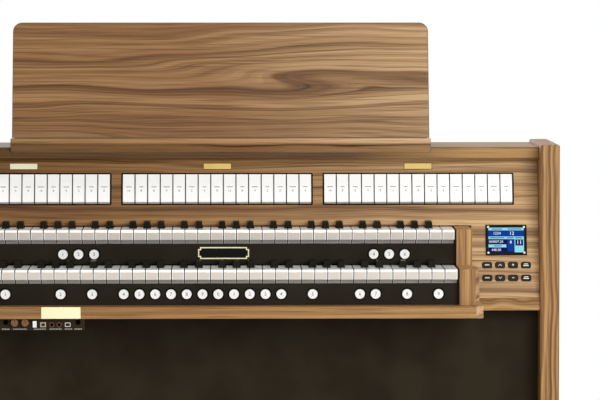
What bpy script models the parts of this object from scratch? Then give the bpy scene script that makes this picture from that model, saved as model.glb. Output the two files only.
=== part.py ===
"""A two-manual electronic organ with a pedalboard, built as separate parts.

Metres, +Z up. The player sits at -Y and looks along +Y, and +X is at the player's right.
The origin lies on the floor, under the middle of the case and its docked pedalboard.
"""

import math

import bmesh
import bpy
from mathutils import Matrix, Vector

# Fits
GAP = 0.0003
SLIDE_FIT = 0.0004

# Case
SIDE_INNER_X = 0.584
SIDE_THICKNESS = 0.035
SIDE_HEIGHT = 1.0904
SIDE_FRONT_Y = 0.044
CASE_BACK_Y = 0.337
SIDE_EDGE_ROUND = 0.002
TOP_BOARD_STEP = 0.0061
TOP_BOARD_THICKNESS = 0.0204
TOP_BOARD_SETBACK = 0.0606
BACK_PANEL_THICKNESS = 0.010
BACK_PANEL_INSET = 0.002
CASE_FLOOR_Z = 0.345
CASE_FLOOR_THICKNESS = 0.018
KNEE_PANEL_SETBACK = 0.063
KNEE_PANEL_THICKNESS = 0.012
STRETCHER_HEIGHT = 0.135
STRETCHER_THICKNESS = 0.018

# Key bed
BED_TOP_Z = 0.8067
BED_THICKNESS = 0.0217
DESK_FRONT_Y = -0.125
DESK_INNER_X = 0.4549
ARM_THICKNESS = 0.0129
KEYSLIP_DEPTH = 0.018
ARM_RISE = 0.0583
ARM_RISE_SETBACK = 0.119
FLANK_SETBACK = 0.009
FLANK_DEPTH = 0.018

# Stop panel, leaning back over the upper manual
PANEL_LEAN = math.radians(15.4)
PANEL_THICKNESS = 0.018
PANEL_FOOT_SETBACK = 0.018
PANEL_MOUTH_HALF_WIDTH = 0.459
PANEL_MOUTH_OVER_KEYS = 0.0022

# Keys
KEY_PITCH = 0.0235
NATURALS_PER_MANUAL = 36
KEY_GAP = 0.0009
LOWER_KEY_TOP_Z = 0.8715
LOWER_KEY_FRONT_SETBACK = 0.020
MANUAL_RISE = 0.0656
MANUAL_SETBACK = 0.100
KEY_LENGTH = 0.215
KEY_PIVOT_DROP = 0.016
KEY_BODY_DROP = 0.028
KEY_BODY_SETBACK = 0.030
KEY_PLATE_THICKNESS = 0.007
SKIRT_DROP = 0.0176
SKIRT_THICKNESS = 0.008
NOSE_DEPTH = 0.0030
NOSE_DROP = 0.0040
SHARP_SETBACK = 0.052
SHARP_LENGTH = 0.050
SHARP_WIDTH = 0.0128
SHARP_TOP_WIDTH = 0.0104
SHARP_RISE = 0.0118
SHARP_FRONT_RAKE = 0.0035
SHARP_NOTCH = 0.0015
KEY_DIP = 0.010
SHARP_STEPS = (0, 1, 3, 4, 5)
KEY_SPINE_DEPTH = 0.010
KEY_SPINE_HEIGHT = 0.008
OUTER_SHARP_SHIFT = 0.0025
PAIR_SHARP_SHIFT = 0.0018

# Key frames
FRAME_PLATE = 0.0025
FRAME_STOP_SETBACK = 0.045
FRAME_STOP_DEPTH = 0.010
FRAME_STOP_CHAMFER = 0.0015
STOP_CLEARANCE = 0.0006
UPPER_FRAME_DEPTH = 0.033

# Key blocks
BLOCK_INNER_X = 0.426
BLOCK_OVER_KEYS = 0.0009
UPPER_BLOCK_SETBACK = 0.001
LOWER_BLOCK_LEAD = 0.004

# Piston rails
RAIL_SETBACK = 0.016
RAIL_THICKNESS = 0.012
LOWER_RAIL_HEIGHT = 0.0382
UPPER_RAIL_HEIGHT = 0.0368
UPPER_RAIL_BELOW_KEYS = 0.0262
PISTON_RADIUS = 0.0088
PISTON_PROUD = 0.006
PISTON_LENGTH = 0.010
PISTON_SIDES = 12
PISTON_PITCH = 0.02845
PISTON_STEM_RADIUS = 0.004
PISTON_STRIP_DEPTH = 0.002
PISTON_STRIP_HEIGHT = 0.010
LOWER_PISTON_RISE = 0.0202
UPPER_PISTON_DROP = 0.0186
LOWER_PISTON_LAST_X = 0.3886
LOWER_PISTON_STEPS = (0, 2, 4, 5, 8, 10, 11, 12, 13, 14, 15, 16, 17, 18, 19, 20, 22, 24, 27.5)
UPPER_PISTON_MIDDLE_X = 0.0190
UPPER_PISTON_REACH = 0.28425
UPPER_PISTONS_PER_SIDE = 3

# Stop tabs
TAB_PITCH = 0.0234
TAB_GAP = 0.0012
TAB_HEIGHT = 0.0554
TAB_THICKNESS = 0.0072
TAB_PROUD = 0.0012
TAB_LIP = 0.0034
TAB_LIP_RAKE = 0.0045
TAB_SLOT_MARGIN = 0.0009
TAB_SLOT_FOOT = 0.1793
TAB_GROUPS = (
    ("pedal_stop_tabs", "pedal_stop_switches", -0.3736, 14),
    ("manual_one_stop_tabs", "manual_one_stop_switches", -0.0120, 15),
    ("manual_two_stop_tabs", "manual_two_stop_switches", 0.3615, 15),
)
TAB_SPINE_DROP = 0.004
TAB_SPINE_HEIGHT = 0.006
TAB_SPINE_DEPTH = 0.004
TAB_SPINE_LAP = 0.001
SWITCH_BOARD_THICKNESS = 0.002
SWITCH_BOARD_MARGIN = 0.008

# Display and its buttons
DISPLAY_X = 0.5234
DISPLAY_RISE = 0.1094
DISPLAY_SIZE = (0.0763, 0.0576)
DISPLAY_WINDOW = (0.0668, 0.0478)
DISPLAY_PROUD = 0.0025
SCREEN_RECESS = 0.0008
SCREEN_BODY_DEPTH = 0.010
SCREEN_BODY_SIZE = (0.0600, 0.0430)
BUTTON_SIZE = (0.0184, 0.0114)
BUTTON_CORNER = 0.0026
BUTTON_PROUD = 0.0024
BUTTON_DEPTH = 0.0214
BUTTON_MAT_THICKNESS = 0.002
BUTTON_PITCH_X = 0.02397
BUTTON_PITCH_RISE = 0.0243
BUTTON_COLUMNS = 4
BUTTON_ROWS = 2
BUTTON_LOW_RISE = 0.0380

# Music desk
DESK_SHIFT_X = -0.0049
LEDGE_PAST_DESK = 0.0015
LEDGE_THICKNESS = 0.0168
LEDGE_DEPTH = 0.106
LEDGE_OVERHANG = 0.020
LEDGE_NOSE = 0.0080
LEDGE_NOSE_STEPS = 4
DESK_WIDTH = 0.773
DESK_HEIGHT = 0.2210
DESK_THICKNESS = 0.018
DESK_LEAN = math.radians(15.5)
DESK_SETBACK = 0.024
DESK_CORNER = 0.017
BRACKET_X = 0.250
BRACKET_WIDTH = 0.018
BRACKET_HEIGHT = 0.150
BRACKET_DEPTH = 0.050

# Socket box under the key bed
SOCKET_BOX_X = -0.3350
SOCKET_BOX_SIZE = (0.170, 0.060, 0.0215)
SOCKET_BOX_SETBACK = 0.012
KNOB_OFFSETS = (-0.041, -0.022)
KNOB_OVER_ROW = 0.0041
KNOB_RADIUS = 0.0066
KNOB_LENGTH = 0.009
KNOB_GRIPS = 12
SWITCH_OFFSET = -0.005
SWITCH_OVER_ROW = 0.0011
SWITCH_SIZE = (0.0068, 0.0118)
JACK_OFFSETS = (0.0257, 0.0389)
JACK_RADIUS = 0.0046
JACK_BORE_RADIUS = 0.0034
JACK_LENGTH = 0.003
JACK_BORE_DEPTH = 0.014
SOCKET_RISE = 0.0105

# Pedalboard
PEDAL_NATURALS = 18
PEDAL_PITCH = 0.0625
PEDAL_WIDTH = 0.022
PEDAL_TOP_Z = 0.105
PEDAL_DEPTH = 0.030
PEDAL_END_CLEARANCE = 0.00575
PEDAL_FRAME_BOARD = 0.022
PEDAL_FRAME_FRONT_Y = -0.337
PEDAL_FRAME_HEIGHT = 0.118
HEEL_BOARD_HEIGHT = 0.088
PEDAL_CLEARANCE = 0.008
PEDAL_SHARP_FRONT_Y = 0.111
PEDAL_SHARP_LENGTH = 0.150
PEDAL_SHARP_RISE = 0.040
PEDAL_SHARP_RAKE = 0.018
PEDAL_HINGE_DROP = 0.015
PEDAL_HINGE_GAP = 0.0008
PEDAL_SPINE_DEPTH = 0.016
PEDAL_SPINE_HEIGHT = 0.0140
PEDAL_DIP = 0.013
PEDAL_REST_SETBACK = 0.050

# Expression pedals
EXPRESSION_X = 0.055
EXPRESSION_SIZE = (0.095, 0.230, 0.012)
EXPRESSION_HEEL = 0.080
EXPRESSION_AXLE = (0.126, 0.235)
EXPRESSION_AXLE_RADIUS = 0.004
EXPRESSION_LEAN = math.radians(35.0)
EXPRESSION_BRACKET_HALF_WIDTH = 0.122
EXPRESSION_BRACKET_PLATE = 0.003
EXPRESSION_BRACKET_DEPTH = 0.060

# Sound and electronics
WOOFER_X = 0.330
WOOFER_Z = 0.482
WOOFER_RADIUS = 0.082
WOOFER_DEPTH = 0.070
WOOFER_MAGNET_RADIUS = 0.045
WOOFER_HOLE_RADIUS = 0.058
WOOFER_SIDES = 24
GRILLE_SIZE = (1.040, 0.220)
GRILLE_THICKNESS = 0.008
AMPLIFIER_SIZE = (0.220, 0.100, 0.040)
AMPLIFIER_X = -0.180
AMPLIFIER_FINS = 9
FIN_THICKNESS = 0.003
FIN_HEIGHT = 0.024
SUPPLY_SIZE = (0.160, 0.098, 0.050)
SUPPLY_X = 0.150
ELECTRONICS_CLEARANCE = 0.020
MAIN_BOARD_SIZE = (0.320, 0.160)
MAIN_BOARD_Z = 0.930
BOARD_THICKNESS = 0.0016
STANDOFF_LENGTH = 0.010
STANDOFF_RADIUS = 0.004
INLET_X = -0.420
INLET_Z = 0.250
INLET_SIZE = (0.048, 0.032)
INLET_MOUTH = (0.026, 0.018)
INLET_DEPTH = 0.024
INLET_MOUTH_DEPTH = 0.017

# Places that follow from the sizes above
BED_BOTTOM_Z = BED_TOP_Z - BED_THICKNESS
TOP_BOARD_TOP_Z = SIDE_HEIGHT - TOP_BOARD_STEP
TOP_BOARD_BOTTOM_Z = TOP_BOARD_TOP_Z - TOP_BOARD_THICKNESS
TOP_BOARD_FRONT_Y = SIDE_FRONT_Y + TOP_BOARD_SETBACK
BACK_PANEL_FRONT_Y = CASE_BACK_Y - BACK_PANEL_INSET - BACK_PANEL_THICKNESS
CASE_INNER_X = SIDE_INNER_X - GAP
CASE_FLOOR_TOP_Z = CASE_FLOOR_Z + CASE_FLOOR_THICKNESS
KNEE_PANEL_Y = SIDE_FRONT_Y + KNEE_PANEL_SETBACK
STRETCHER_FRONT_Y = CASE_BACK_Y - BACK_PANEL_INSET - STRETCHER_THICKNESS
FLANK_FRONT_Y = SIDE_FRONT_Y + FLANK_SETBACK
FLANK_BACK_Y = FLANK_FRONT_Y + FLANK_DEPTH
PANEL_FOOT_Y = SIDE_FRONT_Y + PANEL_FOOT_SETBACK
LOWER_KEY_FRONT_Y = DESK_FRONT_Y + LOWER_KEY_FRONT_SETBACK
UPPER_KEY_FRONT_Y = LOWER_KEY_FRONT_Y + MANUAL_SETBACK
UPPER_KEY_TOP_Z = LOWER_KEY_TOP_Z + MANUAL_RISE
KEYBOARD_WIDTH = NATURALS_PER_MANUAL * KEY_PITCH
ARM_OUTER_X = DESK_INNER_X + ARM_THICKNESS
PANEL_MOUTH_TOP_Z = UPPER_KEY_TOP_Z + PANEL_MOUTH_OVER_KEYS
LEDGE_WIDTH = DESK_WIDTH + 2 * LEDGE_PAST_DESK
LEDGE_FRONT_Y = TOP_BOARD_FRONT_Y - LEDGE_OVERHANG
LEDGE_BOTTOM_Z = TOP_BOARD_TOP_Z + GAP
LEDGE_TOP_Z = LEDGE_BOTTOM_Z + LEDGE_THICKNESS
PEDAL_BACK_Y = STRETCHER_FRONT_Y - GAP
PEDALS_HALF_WIDTH = (PEDAL_NATURALS - 1) / 2 * PEDAL_PITCH + PEDAL_WIDTH / 2
PEDAL_FRAME_HALF_WIDTH = PEDALS_HALF_WIDTH + PEDAL_END_CLEARANCE + PEDAL_FRAME_BOARD

# Colours as sRGB, with roughness and metallic values
FINISHES = {
    "walnut": ("B98F62", 0.45, 0.0),
    "dark_rail": ("282217", 0.55, 0.0),
    "ivory_plastic": ("F0ECE4", 0.30, 0.0),
    "black_plastic": ("1C1A15", 0.35, 0.0),
    "tab_plastic": ("F7F6F2", 0.30, 0.0),
    "piston_plastic": ("F4F3EE", 0.30, 0.0),
    "steel": ("9A9C9E", 0.35, 1.0),
    "brass": ("D8B45A", 0.30, 1.0),
    "screen_glass": ("17306E", 0.15, 0.0),
    "black_cloth": ("1A1814", 0.95, 0.0),
    "circuit_board": ("1F4A2C", 0.50, 0.0),
    "oak": ("C79A63", 0.50, 0.0),
    "rubber": ("1B1B1B", 0.80, 0.0),
    "felt": ("6A2320", 0.95, 0.0),
    "cone_paper": ("222222", 0.85, 0.0),
    "aluminium": ("B4B7BA", 0.40, 1.0),
}


def clear_scene():
    """Removes every object that the file opened with."""
    for obj in list(bpy.data.objects):
        bpy.data.objects.remove(obj, do_unlink=True)


def make_collection(name):
    """Returns a new collection linked to the scene."""
    found = bpy.data.collections.new(name)
    bpy.context.scene.collection.children.link(found)
    return found


clear_scene()
ORGAN = make_collection("electronic_organ")
CUTTERS = make_collection("cutters")


def linear(channel):
    """Turns one sRGB channel into linear light."""
    return channel / 12.92 if channel <= 0.04045 else ((channel + 0.055) / 1.055) ** 2.4


def make_material(finish, name):
    """Returns a Principled material in one of the finishes above."""
    code, roughness, metallic = FINISHES[finish]
    rgb = [linear(int(code[i : i + 2], 16) / 255.0) for i in (0, 2, 4)]
    material = bpy.data.materials.new(name)
    material.use_nodes = True
    shader = material.node_tree.nodes["Principled BSDF"]
    shader.inputs["Base Color"].default_value = (*rgb, 1.0)
    shader.inputs["Roughness"].default_value = roughness
    shader.inputs["Metallic"].default_value = metallic
    return material


# Basic shapes, each a mesh


def box_mesh(low, high):
    """Returns a box between two corners."""
    bm = bmesh.new()
    size = Vector(high) - Vector(low)
    centre = (Vector(high) + Vector(low)) / 2
    bmesh.ops.create_cube(bm, size=1.0, matrix=Matrix.Translation(centre) @ Matrix.Diagonal((*size, 1.0)))
    return mesh_from(bm)


def mesh_from(bm):
    """Closes a bmesh into a mesh with its faces pointing out."""
    bmesh.ops.recalc_face_normals(bm, faces=bm.faces)
    mesh = bpy.data.meshes.new("shape")
    bm.to_mesh(mesh)
    bm.free()
    return mesh


# Where an outline's own X and Y and its thickness go
PLAN = Matrix.Identity(4)
SIDE = Matrix(((0, 0, 1, 0), (1, 0, 0, 0), (0, 1, 0, 0), (0, 0, 0, 1)))
FRONT = Matrix(((1, 0, 0, 0), (0, 0, -1, 0), (0, 1, 0, 0), (0, 0, 0, 1)))


def outline_mesh(outlines, thickness, plane, middle=0.0):
    """Extrudes flat outlines, where an outline inside another is a hole.

    plane is PLAN, SIDE (outlines in Y and Z) or FRONT (outlines in X and Z), and middle is where
    the middle of the thickness lies along the third axis.
    """
    curve = bpy.data.curves.new("outline", "CURVE")
    curve.dimensions = "2D"
    curve.fill_mode = "BOTH"
    curve.extrude = thickness / 2
    for outline in outlines:
        spline = curve.splines.new("POLY")
        spline.points.add(len(outline) - 1)
        for point, (u, v) in zip(spline.points, outline):
            point.co = (u, v, 0.0, 1.0)
        spline.use_cyclic_u = True
    holder = bpy.data.objects.new("outline", curve)
    CUTTERS.objects.link(holder)
    graph = bpy.context.evaluated_depsgraph_get()
    mesh = bpy.data.meshes.new_from_object(holder.evaluated_get(graph))
    bpy.data.objects.remove(holder, do_unlink=True)
    bm = bmesh.new()
    bm.from_mesh(mesh)
    bmesh.ops.remove_doubles(bm, verts=bm.verts, dist=1e-5)
    shift = -middle if plane is FRONT else middle
    bm.transform(plane @ Matrix.Translation((0.0, 0.0, shift)))
    return mesh_from(bm)


def round_mesh(radius, length, sides, axis):
    """Returns a cylinder centred on the origin along X, Y or Z."""
    turn = {"X": Matrix.Rotation(math.pi / 2, 4, "Y"), "Y": Matrix.Rotation(math.pi / 2, 4, "X")}
    bm = bmesh.new()
    bmesh.ops.create_cone(
        bm,
        cap_ends=True,
        segments=sides,
        radius1=radius,
        radius2=radius,
        depth=length,
        matrix=turn.get(axis, Matrix.Identity(4)),
    )
    return mesh_from(bm)


def gathered(meshes_and_places):
    """Joins copies of meshes, each moved to its own place, into one mesh of separate bodies."""
    bm = bmesh.new()
    for mesh, place in meshes_and_places:
        part = mesh.copy()
        part.transform(place if isinstance(place, Matrix) else Matrix.Translation(place))
        bm.from_mesh(part)
        bpy.data.meshes.remove(part)
    return mesh_from(bm)


def rectangle(u0, u1, v0, v1):
    """Returns the four corners of a rectangle."""
    return [(u0, v0), (u1, v0), (u1, v1), (u0, v1)]


def centred_rectangle(centre, size):
    """Returns a rectangle by its centre and size."""
    (u, v), (width, height) = centre, size
    return rectangle(u - width / 2, u + width / 2, v - height / 2, v + height / 2)


def circle(centre, radius, sides):
    """Returns the corners of a regular polygon."""
    steps = [2 * math.pi * (i + 0.5) / sides for i in range(sides)]
    return [(centre[0] + radius * math.cos(a), centre[1] + radius * math.sin(a)) for a in steps]


def rounded_rectangle(centre, size, radius, steps):
    """Returns a rectangle whose corners are arcs of the given number of steps."""
    points = []
    for quarter, (sx, sy) in enumerate(((1, 1), (-1, 1), (-1, -1), (1, -1))):
        cx = centre[0] + sx * (size[0] / 2 - radius)
        cy = centre[1] + sy * (size[1] / 2 - radius)
        for step in range(steps + 1):
            angle = math.pi / 2 * (quarter + step / steps)
            points.append((cx + radius * math.cos(angle), cy + radius * math.sin(angle)))
    return points


# Objects


def add_part(name, mesh, finish, location=(0.0, 0.0, 0.0), parent=None):
    """Makes a named object of the organ from a mesh."""
    mesh.name = name
    mesh.materials.append(make_material(finish, name))
    obj = bpy.data.objects.new(name, mesh)
    ORGAN.objects.link(obj)
    obj.location = location
    obj.parent = parent
    return obj


def add_frame(name, location, rotation=(0.0, 0.0, 0.0)):
    """Adds an empty that carries parts."""
    empty = bpy.data.objects.new(name, None)
    ORGAN.objects.link(empty)
    empty.location = location
    empty.rotation_euler = rotation
    return empty


def add_cutter(name, mesh, parent=None):
    """Makes a hidden cutter from a mesh."""
    cutter = bpy.data.objects.new(name, mesh)
    CUTTERS.objects.link(cutter)
    cutter.parent = parent
    cutter.hide_render = True
    cutter.display_type = "WIRE"
    return cutter


def cut(obj, cutter, operation="DIFFERENCE", solver="EXACT"):
    """Cuts or joins one object with another."""
    modifier = obj.modifiers.new(cutter.name, "BOOLEAN")
    modifier.operation = operation
    modifier.object = cutter
    modifier.solver = solver


def smooth_round(obj):
    """Shades a round piece smooth, with its edges sharp."""
    obj.data.shade_smooth()
    obj.data.set_sharp_from_angle(angle=math.radians(40))


def panel_front_y(z):
    """Where the stop panel's front face is at a height."""
    return PANEL_FOOT_Y + (z - BED_TOP_Z) * math.tan(PANEL_LEAN)


# Case


def build_sides():
    """The two full-height side panels."""
    for name, sign in (("left_side_panel", -1), ("right_side_panel", 1)):
        half = SIDE_THICKNESS / 2
        depth = CASE_BACK_Y - SIDE_FRONT_Y
        mesh = box_mesh((-half, 0.0, 0.0), (half, depth, SIDE_HEIGHT))
        side = add_part(name, mesh, "walnut", (sign * (SIDE_INNER_X + half), SIDE_FRONT_Y, 0.0))
        bevel = side.modifiers.new("edges", "BEVEL")
        bevel.width = SIDE_EDGE_ROUND
        bevel.segments = 1
        bevel.limit_method = "ANGLE"


def build_top_and_back():
    """The top board, back panel, case floor, knee panel and rear stretcher."""
    top = box_mesh(
        (-CASE_INNER_X, TOP_BOARD_FRONT_Y, TOP_BOARD_BOTTOM_Z), (CASE_INNER_X, CASE_BACK_Y, TOP_BOARD_TOP_Z)
    )
    add_part("top_board", top, "walnut")

    back_outline = rectangle(-CASE_INNER_X, CASE_INNER_X, STRETCHER_HEIGHT + GAP, TOP_BOARD_BOTTOM_Z - GAP)
    inlet_hole = centred_rectangle((INLET_X, INLET_Z), [side + 2 * GAP for side in INLET_SIZE])
    middle = BACK_PANEL_FRONT_Y + BACK_PANEL_THICKNESS / 2
    back = outline_mesh([back_outline, inlet_hole], BACK_PANEL_THICKNESS, FRONT, middle)
    add_part("back_panel", back, "black_plastic")

    floor = box_mesh(
        (-CASE_INNER_X, KNEE_PANEL_Y + KNEE_PANEL_THICKNESS + GAP, CASE_FLOOR_Z),
        (CASE_INNER_X, BACK_PANEL_FRONT_Y - GAP, CASE_FLOOR_TOP_Z),
    )
    add_part("case_floor", floor, "dark_rail")

    knee_outline = rectangle(-CASE_INNER_X, CASE_INNER_X, CASE_FLOOR_Z, BED_BOTTOM_Z - GAP)
    holes = [circle((x, WOOFER_Z), WOOFER_HOLE_RADIUS, WOOFER_SIDES) for x in (-WOOFER_X, WOOFER_X)]
    middle = KNEE_PANEL_Y + KNEE_PANEL_THICKNESS / 2
    knee = outline_mesh([knee_outline, *holes], KNEE_PANEL_THICKNESS, FRONT, middle)
    add_part("knee_panel", knee, "dark_rail")

    width, height = GRILLE_SIZE
    grille = box_mesh(
        (-width / 2, KNEE_PANEL_Y - GAP - GRILLE_THICKNESS, WOOFER_Z - height / 2),
        (width / 2, KNEE_PANEL_Y - GAP, WOOFER_Z + height / 2),
    )
    add_part("speaker_grille", grille, "black_cloth")

    stretcher = box_mesh(
        (-CASE_INNER_X, STRETCHER_FRONT_Y, 0.0),
        (CASE_INNER_X, STRETCHER_FRONT_Y + STRETCHER_THICKNESS, STRETCHER_HEIGHT),
    )
    add_part("rear_stretcher", stretcher, "dark_rail")


def build_key_bed():
    """The bed board, wide between the sides and stepped forward as a desk, with its keyslip and arms."""
    inner = DESK_INNER_X - GAP
    flank = ARM_OUTER_X + GAP
    front = DESK_FRONT_Y + KEYSLIP_DEPTH + GAP
    back = BACK_PANEL_FRONT_Y - GAP
    wide = FLANK_BACK_Y + GAP
    right = [
        (inner, front), (inner, wide), (flank, wide), (flank, FLANK_FRONT_Y), (CASE_INNER_X, FLANK_FRONT_Y),
        (CASE_INNER_X, back),
    ]
    plan = right + [(-x, y) for x, y in reversed(right)]
    bed_middle = BED_TOP_Z - BED_THICKNESS / 2
    add_part("key_bed", outline_mesh([plan], BED_THICKNESS, PLAN, bed_middle), "walnut")

    slip = box_mesh((-inner, DESK_FRONT_Y, BED_BOTTOM_Z), (inner, DESK_FRONT_Y + KEYSLIP_DEPTH, BED_TOP_Z))
    add_part("keyslip", slip, "walnut")

    rise_front = DESK_FRONT_Y + ARM_RISE_SETBACK
    rise_top = BED_TOP_Z + ARM_RISE
    side = [
        (DESK_FRONT_Y, BED_BOTTOM_Z),
        (FLANK_BACK_Y, BED_BOTTOM_Z),
        (FLANK_BACK_Y, BED_TOP_Z),
        (panel_front_y(BED_TOP_Z) - 2 * GAP, BED_TOP_Z),
        (panel_front_y(rise_top) - 2 * GAP, rise_top),
        (rise_front, rise_top),
        (rise_front, BED_TOP_Z),
        (DESK_FRONT_Y, BED_TOP_Z),
    ]
    arm_x = DESK_INNER_X + ARM_THICKNESS / 2
    for name, sign in (("left_desk_arm", -1), ("right_desk_arm", 1)):
        add_part(name, outline_mesh([side], ARM_THICKNESS, SIDE), "walnut", (sign * arm_x, 0, 0))


def build_key_blocks():
    """The stepped wooden block at each end of the manuals."""
    upper_front = UPPER_KEY_FRONT_Y - UPPER_BLOCK_SETBACK
    back = UPPER_KEY_FRONT_Y + KEY_LENGTH
    lower_front = LOWER_KEY_FRONT_Y - LOWER_BLOCK_LEAD
    foot = BED_TOP_Z + GAP
    lower_top = LOWER_KEY_TOP_Z + BLOCK_OVER_KEYS
    upper_top = UPPER_KEY_TOP_Z + BLOCK_OVER_KEYS
    side = [
        (lower_front, foot), (back, foot), (back, upper_top), (upper_front, upper_top),
        (upper_front, lower_top), (lower_front, lower_top),
    ]
    outer = DESK_INNER_X - GAP
    for name, sign in (("left_key_block", -1), ("right_key_block", 1)):
        block = outline_mesh([side], outer - BLOCK_INNER_X, SIDE)
        add_part(name, block, "walnut", (sign * (outer + BLOCK_INNER_X) / 2, 0, 0))


def lower_piston_places():
    """X of each thumb piston under the lower manual."""
    return [LOWER_PISTON_LAST_X - step * PISTON_PITCH for step in LOWER_PISTON_STEPS]


def upper_piston_places():
    """X of each thumb piston under the upper manual."""
    reach = [UPPER_PISTON_REACH + (i - 1) * PISTON_PITCH for i in range(UPPER_PISTONS_PER_SIDE)]
    return [UPPER_PISTON_MIDDLE_X + sign * x for sign in (-1, 1) for x in reach]


def build_piston_rail(manual, key_front, bottom, height, places, piston_z):
    """A dark rail below a manual's keys, with a hole for each thumb piston, and the pistons."""
    front = key_front + RAIL_SETBACK
    half_width = BLOCK_INNER_X - GAP
    outline = rectangle(-half_width, half_width, bottom, bottom + height)
    hole_radius = (PISTON_RADIUS + GAP) / math.cos(math.pi / PISTON_SIDES)
    holes = [circle((x, piston_z), hole_radius, PISTON_SIDES) for x in places]
    mesh = outline_mesh([outline, *holes], RAIL_THICKNESS, FRONT, front + RAIL_THICKNESS / 2)
    add_part(f"{manual}_piston_rail", mesh, "dark_rail")

    pin = round_mesh(PISTON_RADIUS, PISTON_LENGTH, PISTON_SIDES, "Y")
    middle_y = front - PISTON_PROUD + PISTON_LENGTH / 2
    mesh = gathered([(pin, (x, 0, 0)) for x in places])
    pistons = add_part(f"{manual}_pistons", mesh, "piston_plastic", (0, middle_y, piston_z))
    strip_front = front + RAIL_THICKNESS + GAP
    half_height = PISTON_STRIP_HEIGHT / 2
    left, right = min(places) - PISTON_RADIUS / 2, max(places) + PISTON_RADIUS / 2
    strip = box_mesh(
        (left, strip_front, piston_z - half_height),
        (right, strip_front + PISTON_STRIP_DEPTH, piston_z + half_height),
    )
    stem_back = strip_front + PISTON_STRIP_DEPTH / 2
    stem = round_mesh(PISTON_STEM_RADIUS, stem_back - middle_y, 6, "Y")
    stem_y = (stem_back + middle_y) / 2
    stems = gathered([(stem, (x, stem_y, piston_z)) for x in places])
    cut(pistons, add_cutter(f"{manual}_piston_strip", strip), "UNION")
    cut(pistons, add_cutter(f"{manual}_piston_stems", stems), "UNION")
    smooth_round(pistons)


# Keys


def sharp_places():
    """The naturals that each sharp stands after, with its X, from the lowest C up."""
    shifts = {0: -PAIR_SHARP_SHIFT, 1: PAIR_SHARP_SHIFT, 3: -OUTER_SHARP_SHIFT, 4: 0.0, 5: OUTER_SHARP_SHIFT}
    left = -KEYBOARD_WIDTH / 2
    steps = range(NATURALS_PER_MANUAL - 1)
    return {i: left + (i + 1) * KEY_PITCH + shifts[i % 7] for i in steps if i % 7 in SHARP_STEPS}


def comb_outline(teeth, spine_front, spine_back):
    """One plan outline of teeth that stand forward of a spine, each tooth given by its own corners."""
    corners = [corner for tooth in teeth for corner in tooth]
    left, right = corners[0][0], corners[-1][0]
    ends = [(right, spine_back), (left, spine_back)]
    return [(x, min(y, spine_front)) for x, y in corners] + ends


def natural_tooth(index, sharps):
    """The plan corners of one natural from left to right, notched for the sharps beside it."""
    left = -KEYBOARD_WIDTH / 2 + index * KEY_PITCH + KEY_GAP / 2
    right = left + KEY_PITCH - KEY_GAP
    beside = SHARP_WIDTH / 2 + KEY_GAP
    front = -KEY_LENGTH
    notch = front + SHARP_SETBACK - SHARP_NOTCH
    if index - 1 in sharps:
        tail = sharps[index - 1] + beside
        corners = [(tail, 0.0), (tail, notch), (left, notch), (left, front)]
    else:
        corners = [(left, 0.0), (left, front)]
    if index in sharps:
        tail = sharps[index] - beside
        return corners + [(right, front), (right, notch), (tail, notch), (tail, 0.0)]
    return corners + [(right, front), (right, 0.0)]


def spine_cuts(level, width):
    """What is cut away at the rear of a key set, above and below its own spine."""
    low = KEY_PIVOT_DROP - KEY_BODY_DROP
    high = KEY_PIVOT_DROP + SHARP_RISE
    clear = 0.005
    spine_low = low + level * (KEY_SPINE_HEIGHT + KEY_GAP)
    spine_high = spine_low + KEY_SPINE_HEIGHT
    front = -KEY_SPINE_DEPTH - KEY_GAP
    half = width / 2
    cuts = [box_mesh((-half, front, spine_high), (half, clear, high + clear))]
    if level:
        cuts.append(box_mesh((-half, front, low - clear), (half, clear, spine_low)))
    return [(mesh, (0, 0, 0)) for mesh in cuts]


def sharp_cuts(width):
    """What is cut away behind the caps of the sharps, and the rake of their fronts."""
    top = KEY_PIVOT_DROP
    front = -KEY_LENGTH + SHARP_SETBACK
    clear = 0.005
    behind = box_mesh(
        (-width / 2, front + SHARP_LENGTH, top - SHARP_NOTCH), (width / 2, clear, top + SHARP_RISE + clear)
    )
    rake = [
        (front - clear, top), (front, top), (front + SHARP_FRONT_RAKE, top + SHARP_RISE),
        (front + SHARP_FRONT_RAKE, top + SHARP_RISE + clear), (front - clear, top + SHARP_RISE + clear),
    ]
    return [(behind, (0, 0, 0)), (outline_mesh([rake], width, SIDE), (0, 0, 0))]


def undercut_profile():
    """What is cut away below the front of the naturals: under the skirt, and behind it up to the plate."""
    top = KEY_PIVOT_DROP
    front = -KEY_LENGTH
    clear = 0.005
    low = top - KEY_BODY_DROP - clear
    skirt_bottom = top - SKIRT_DROP
    body_front = front + KEY_BODY_SETBACK
    return [
        (front - clear, low),
        (body_front, low),
        (body_front, top - KEY_PLATE_THICKNESS),
        (front + SKIRT_THICKNESS, top - KEY_PLATE_THICKNESS),
        (front + SKIRT_THICKNESS, skirt_bottom),
        (front - clear, skirt_bottom),
    ]


def nose_profile():
    """What is taken off the front edge of the naturals."""
    top, front, clear = KEY_PIVOT_DROP, -KEY_LENGTH, 0.001
    return [
        (front, top - NOSE_DROP), (front + NOSE_DEPTH, top), (front + NOSE_DEPTH, top + clear),
        (front - clear, top + clear), (front - clear, top - NOSE_DROP),
    ]


def baked(obj):
    """Replaces an object's mesh by the evaluated one, so that its corners can be moved."""
    graph = bpy.context.evaluated_depsgraph_get()
    mesh = bpy.data.meshes.new_from_object(obj.evaluated_get(graph))
    obj.modifiers.clear()
    obj.data = mesh
    return mesh


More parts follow.
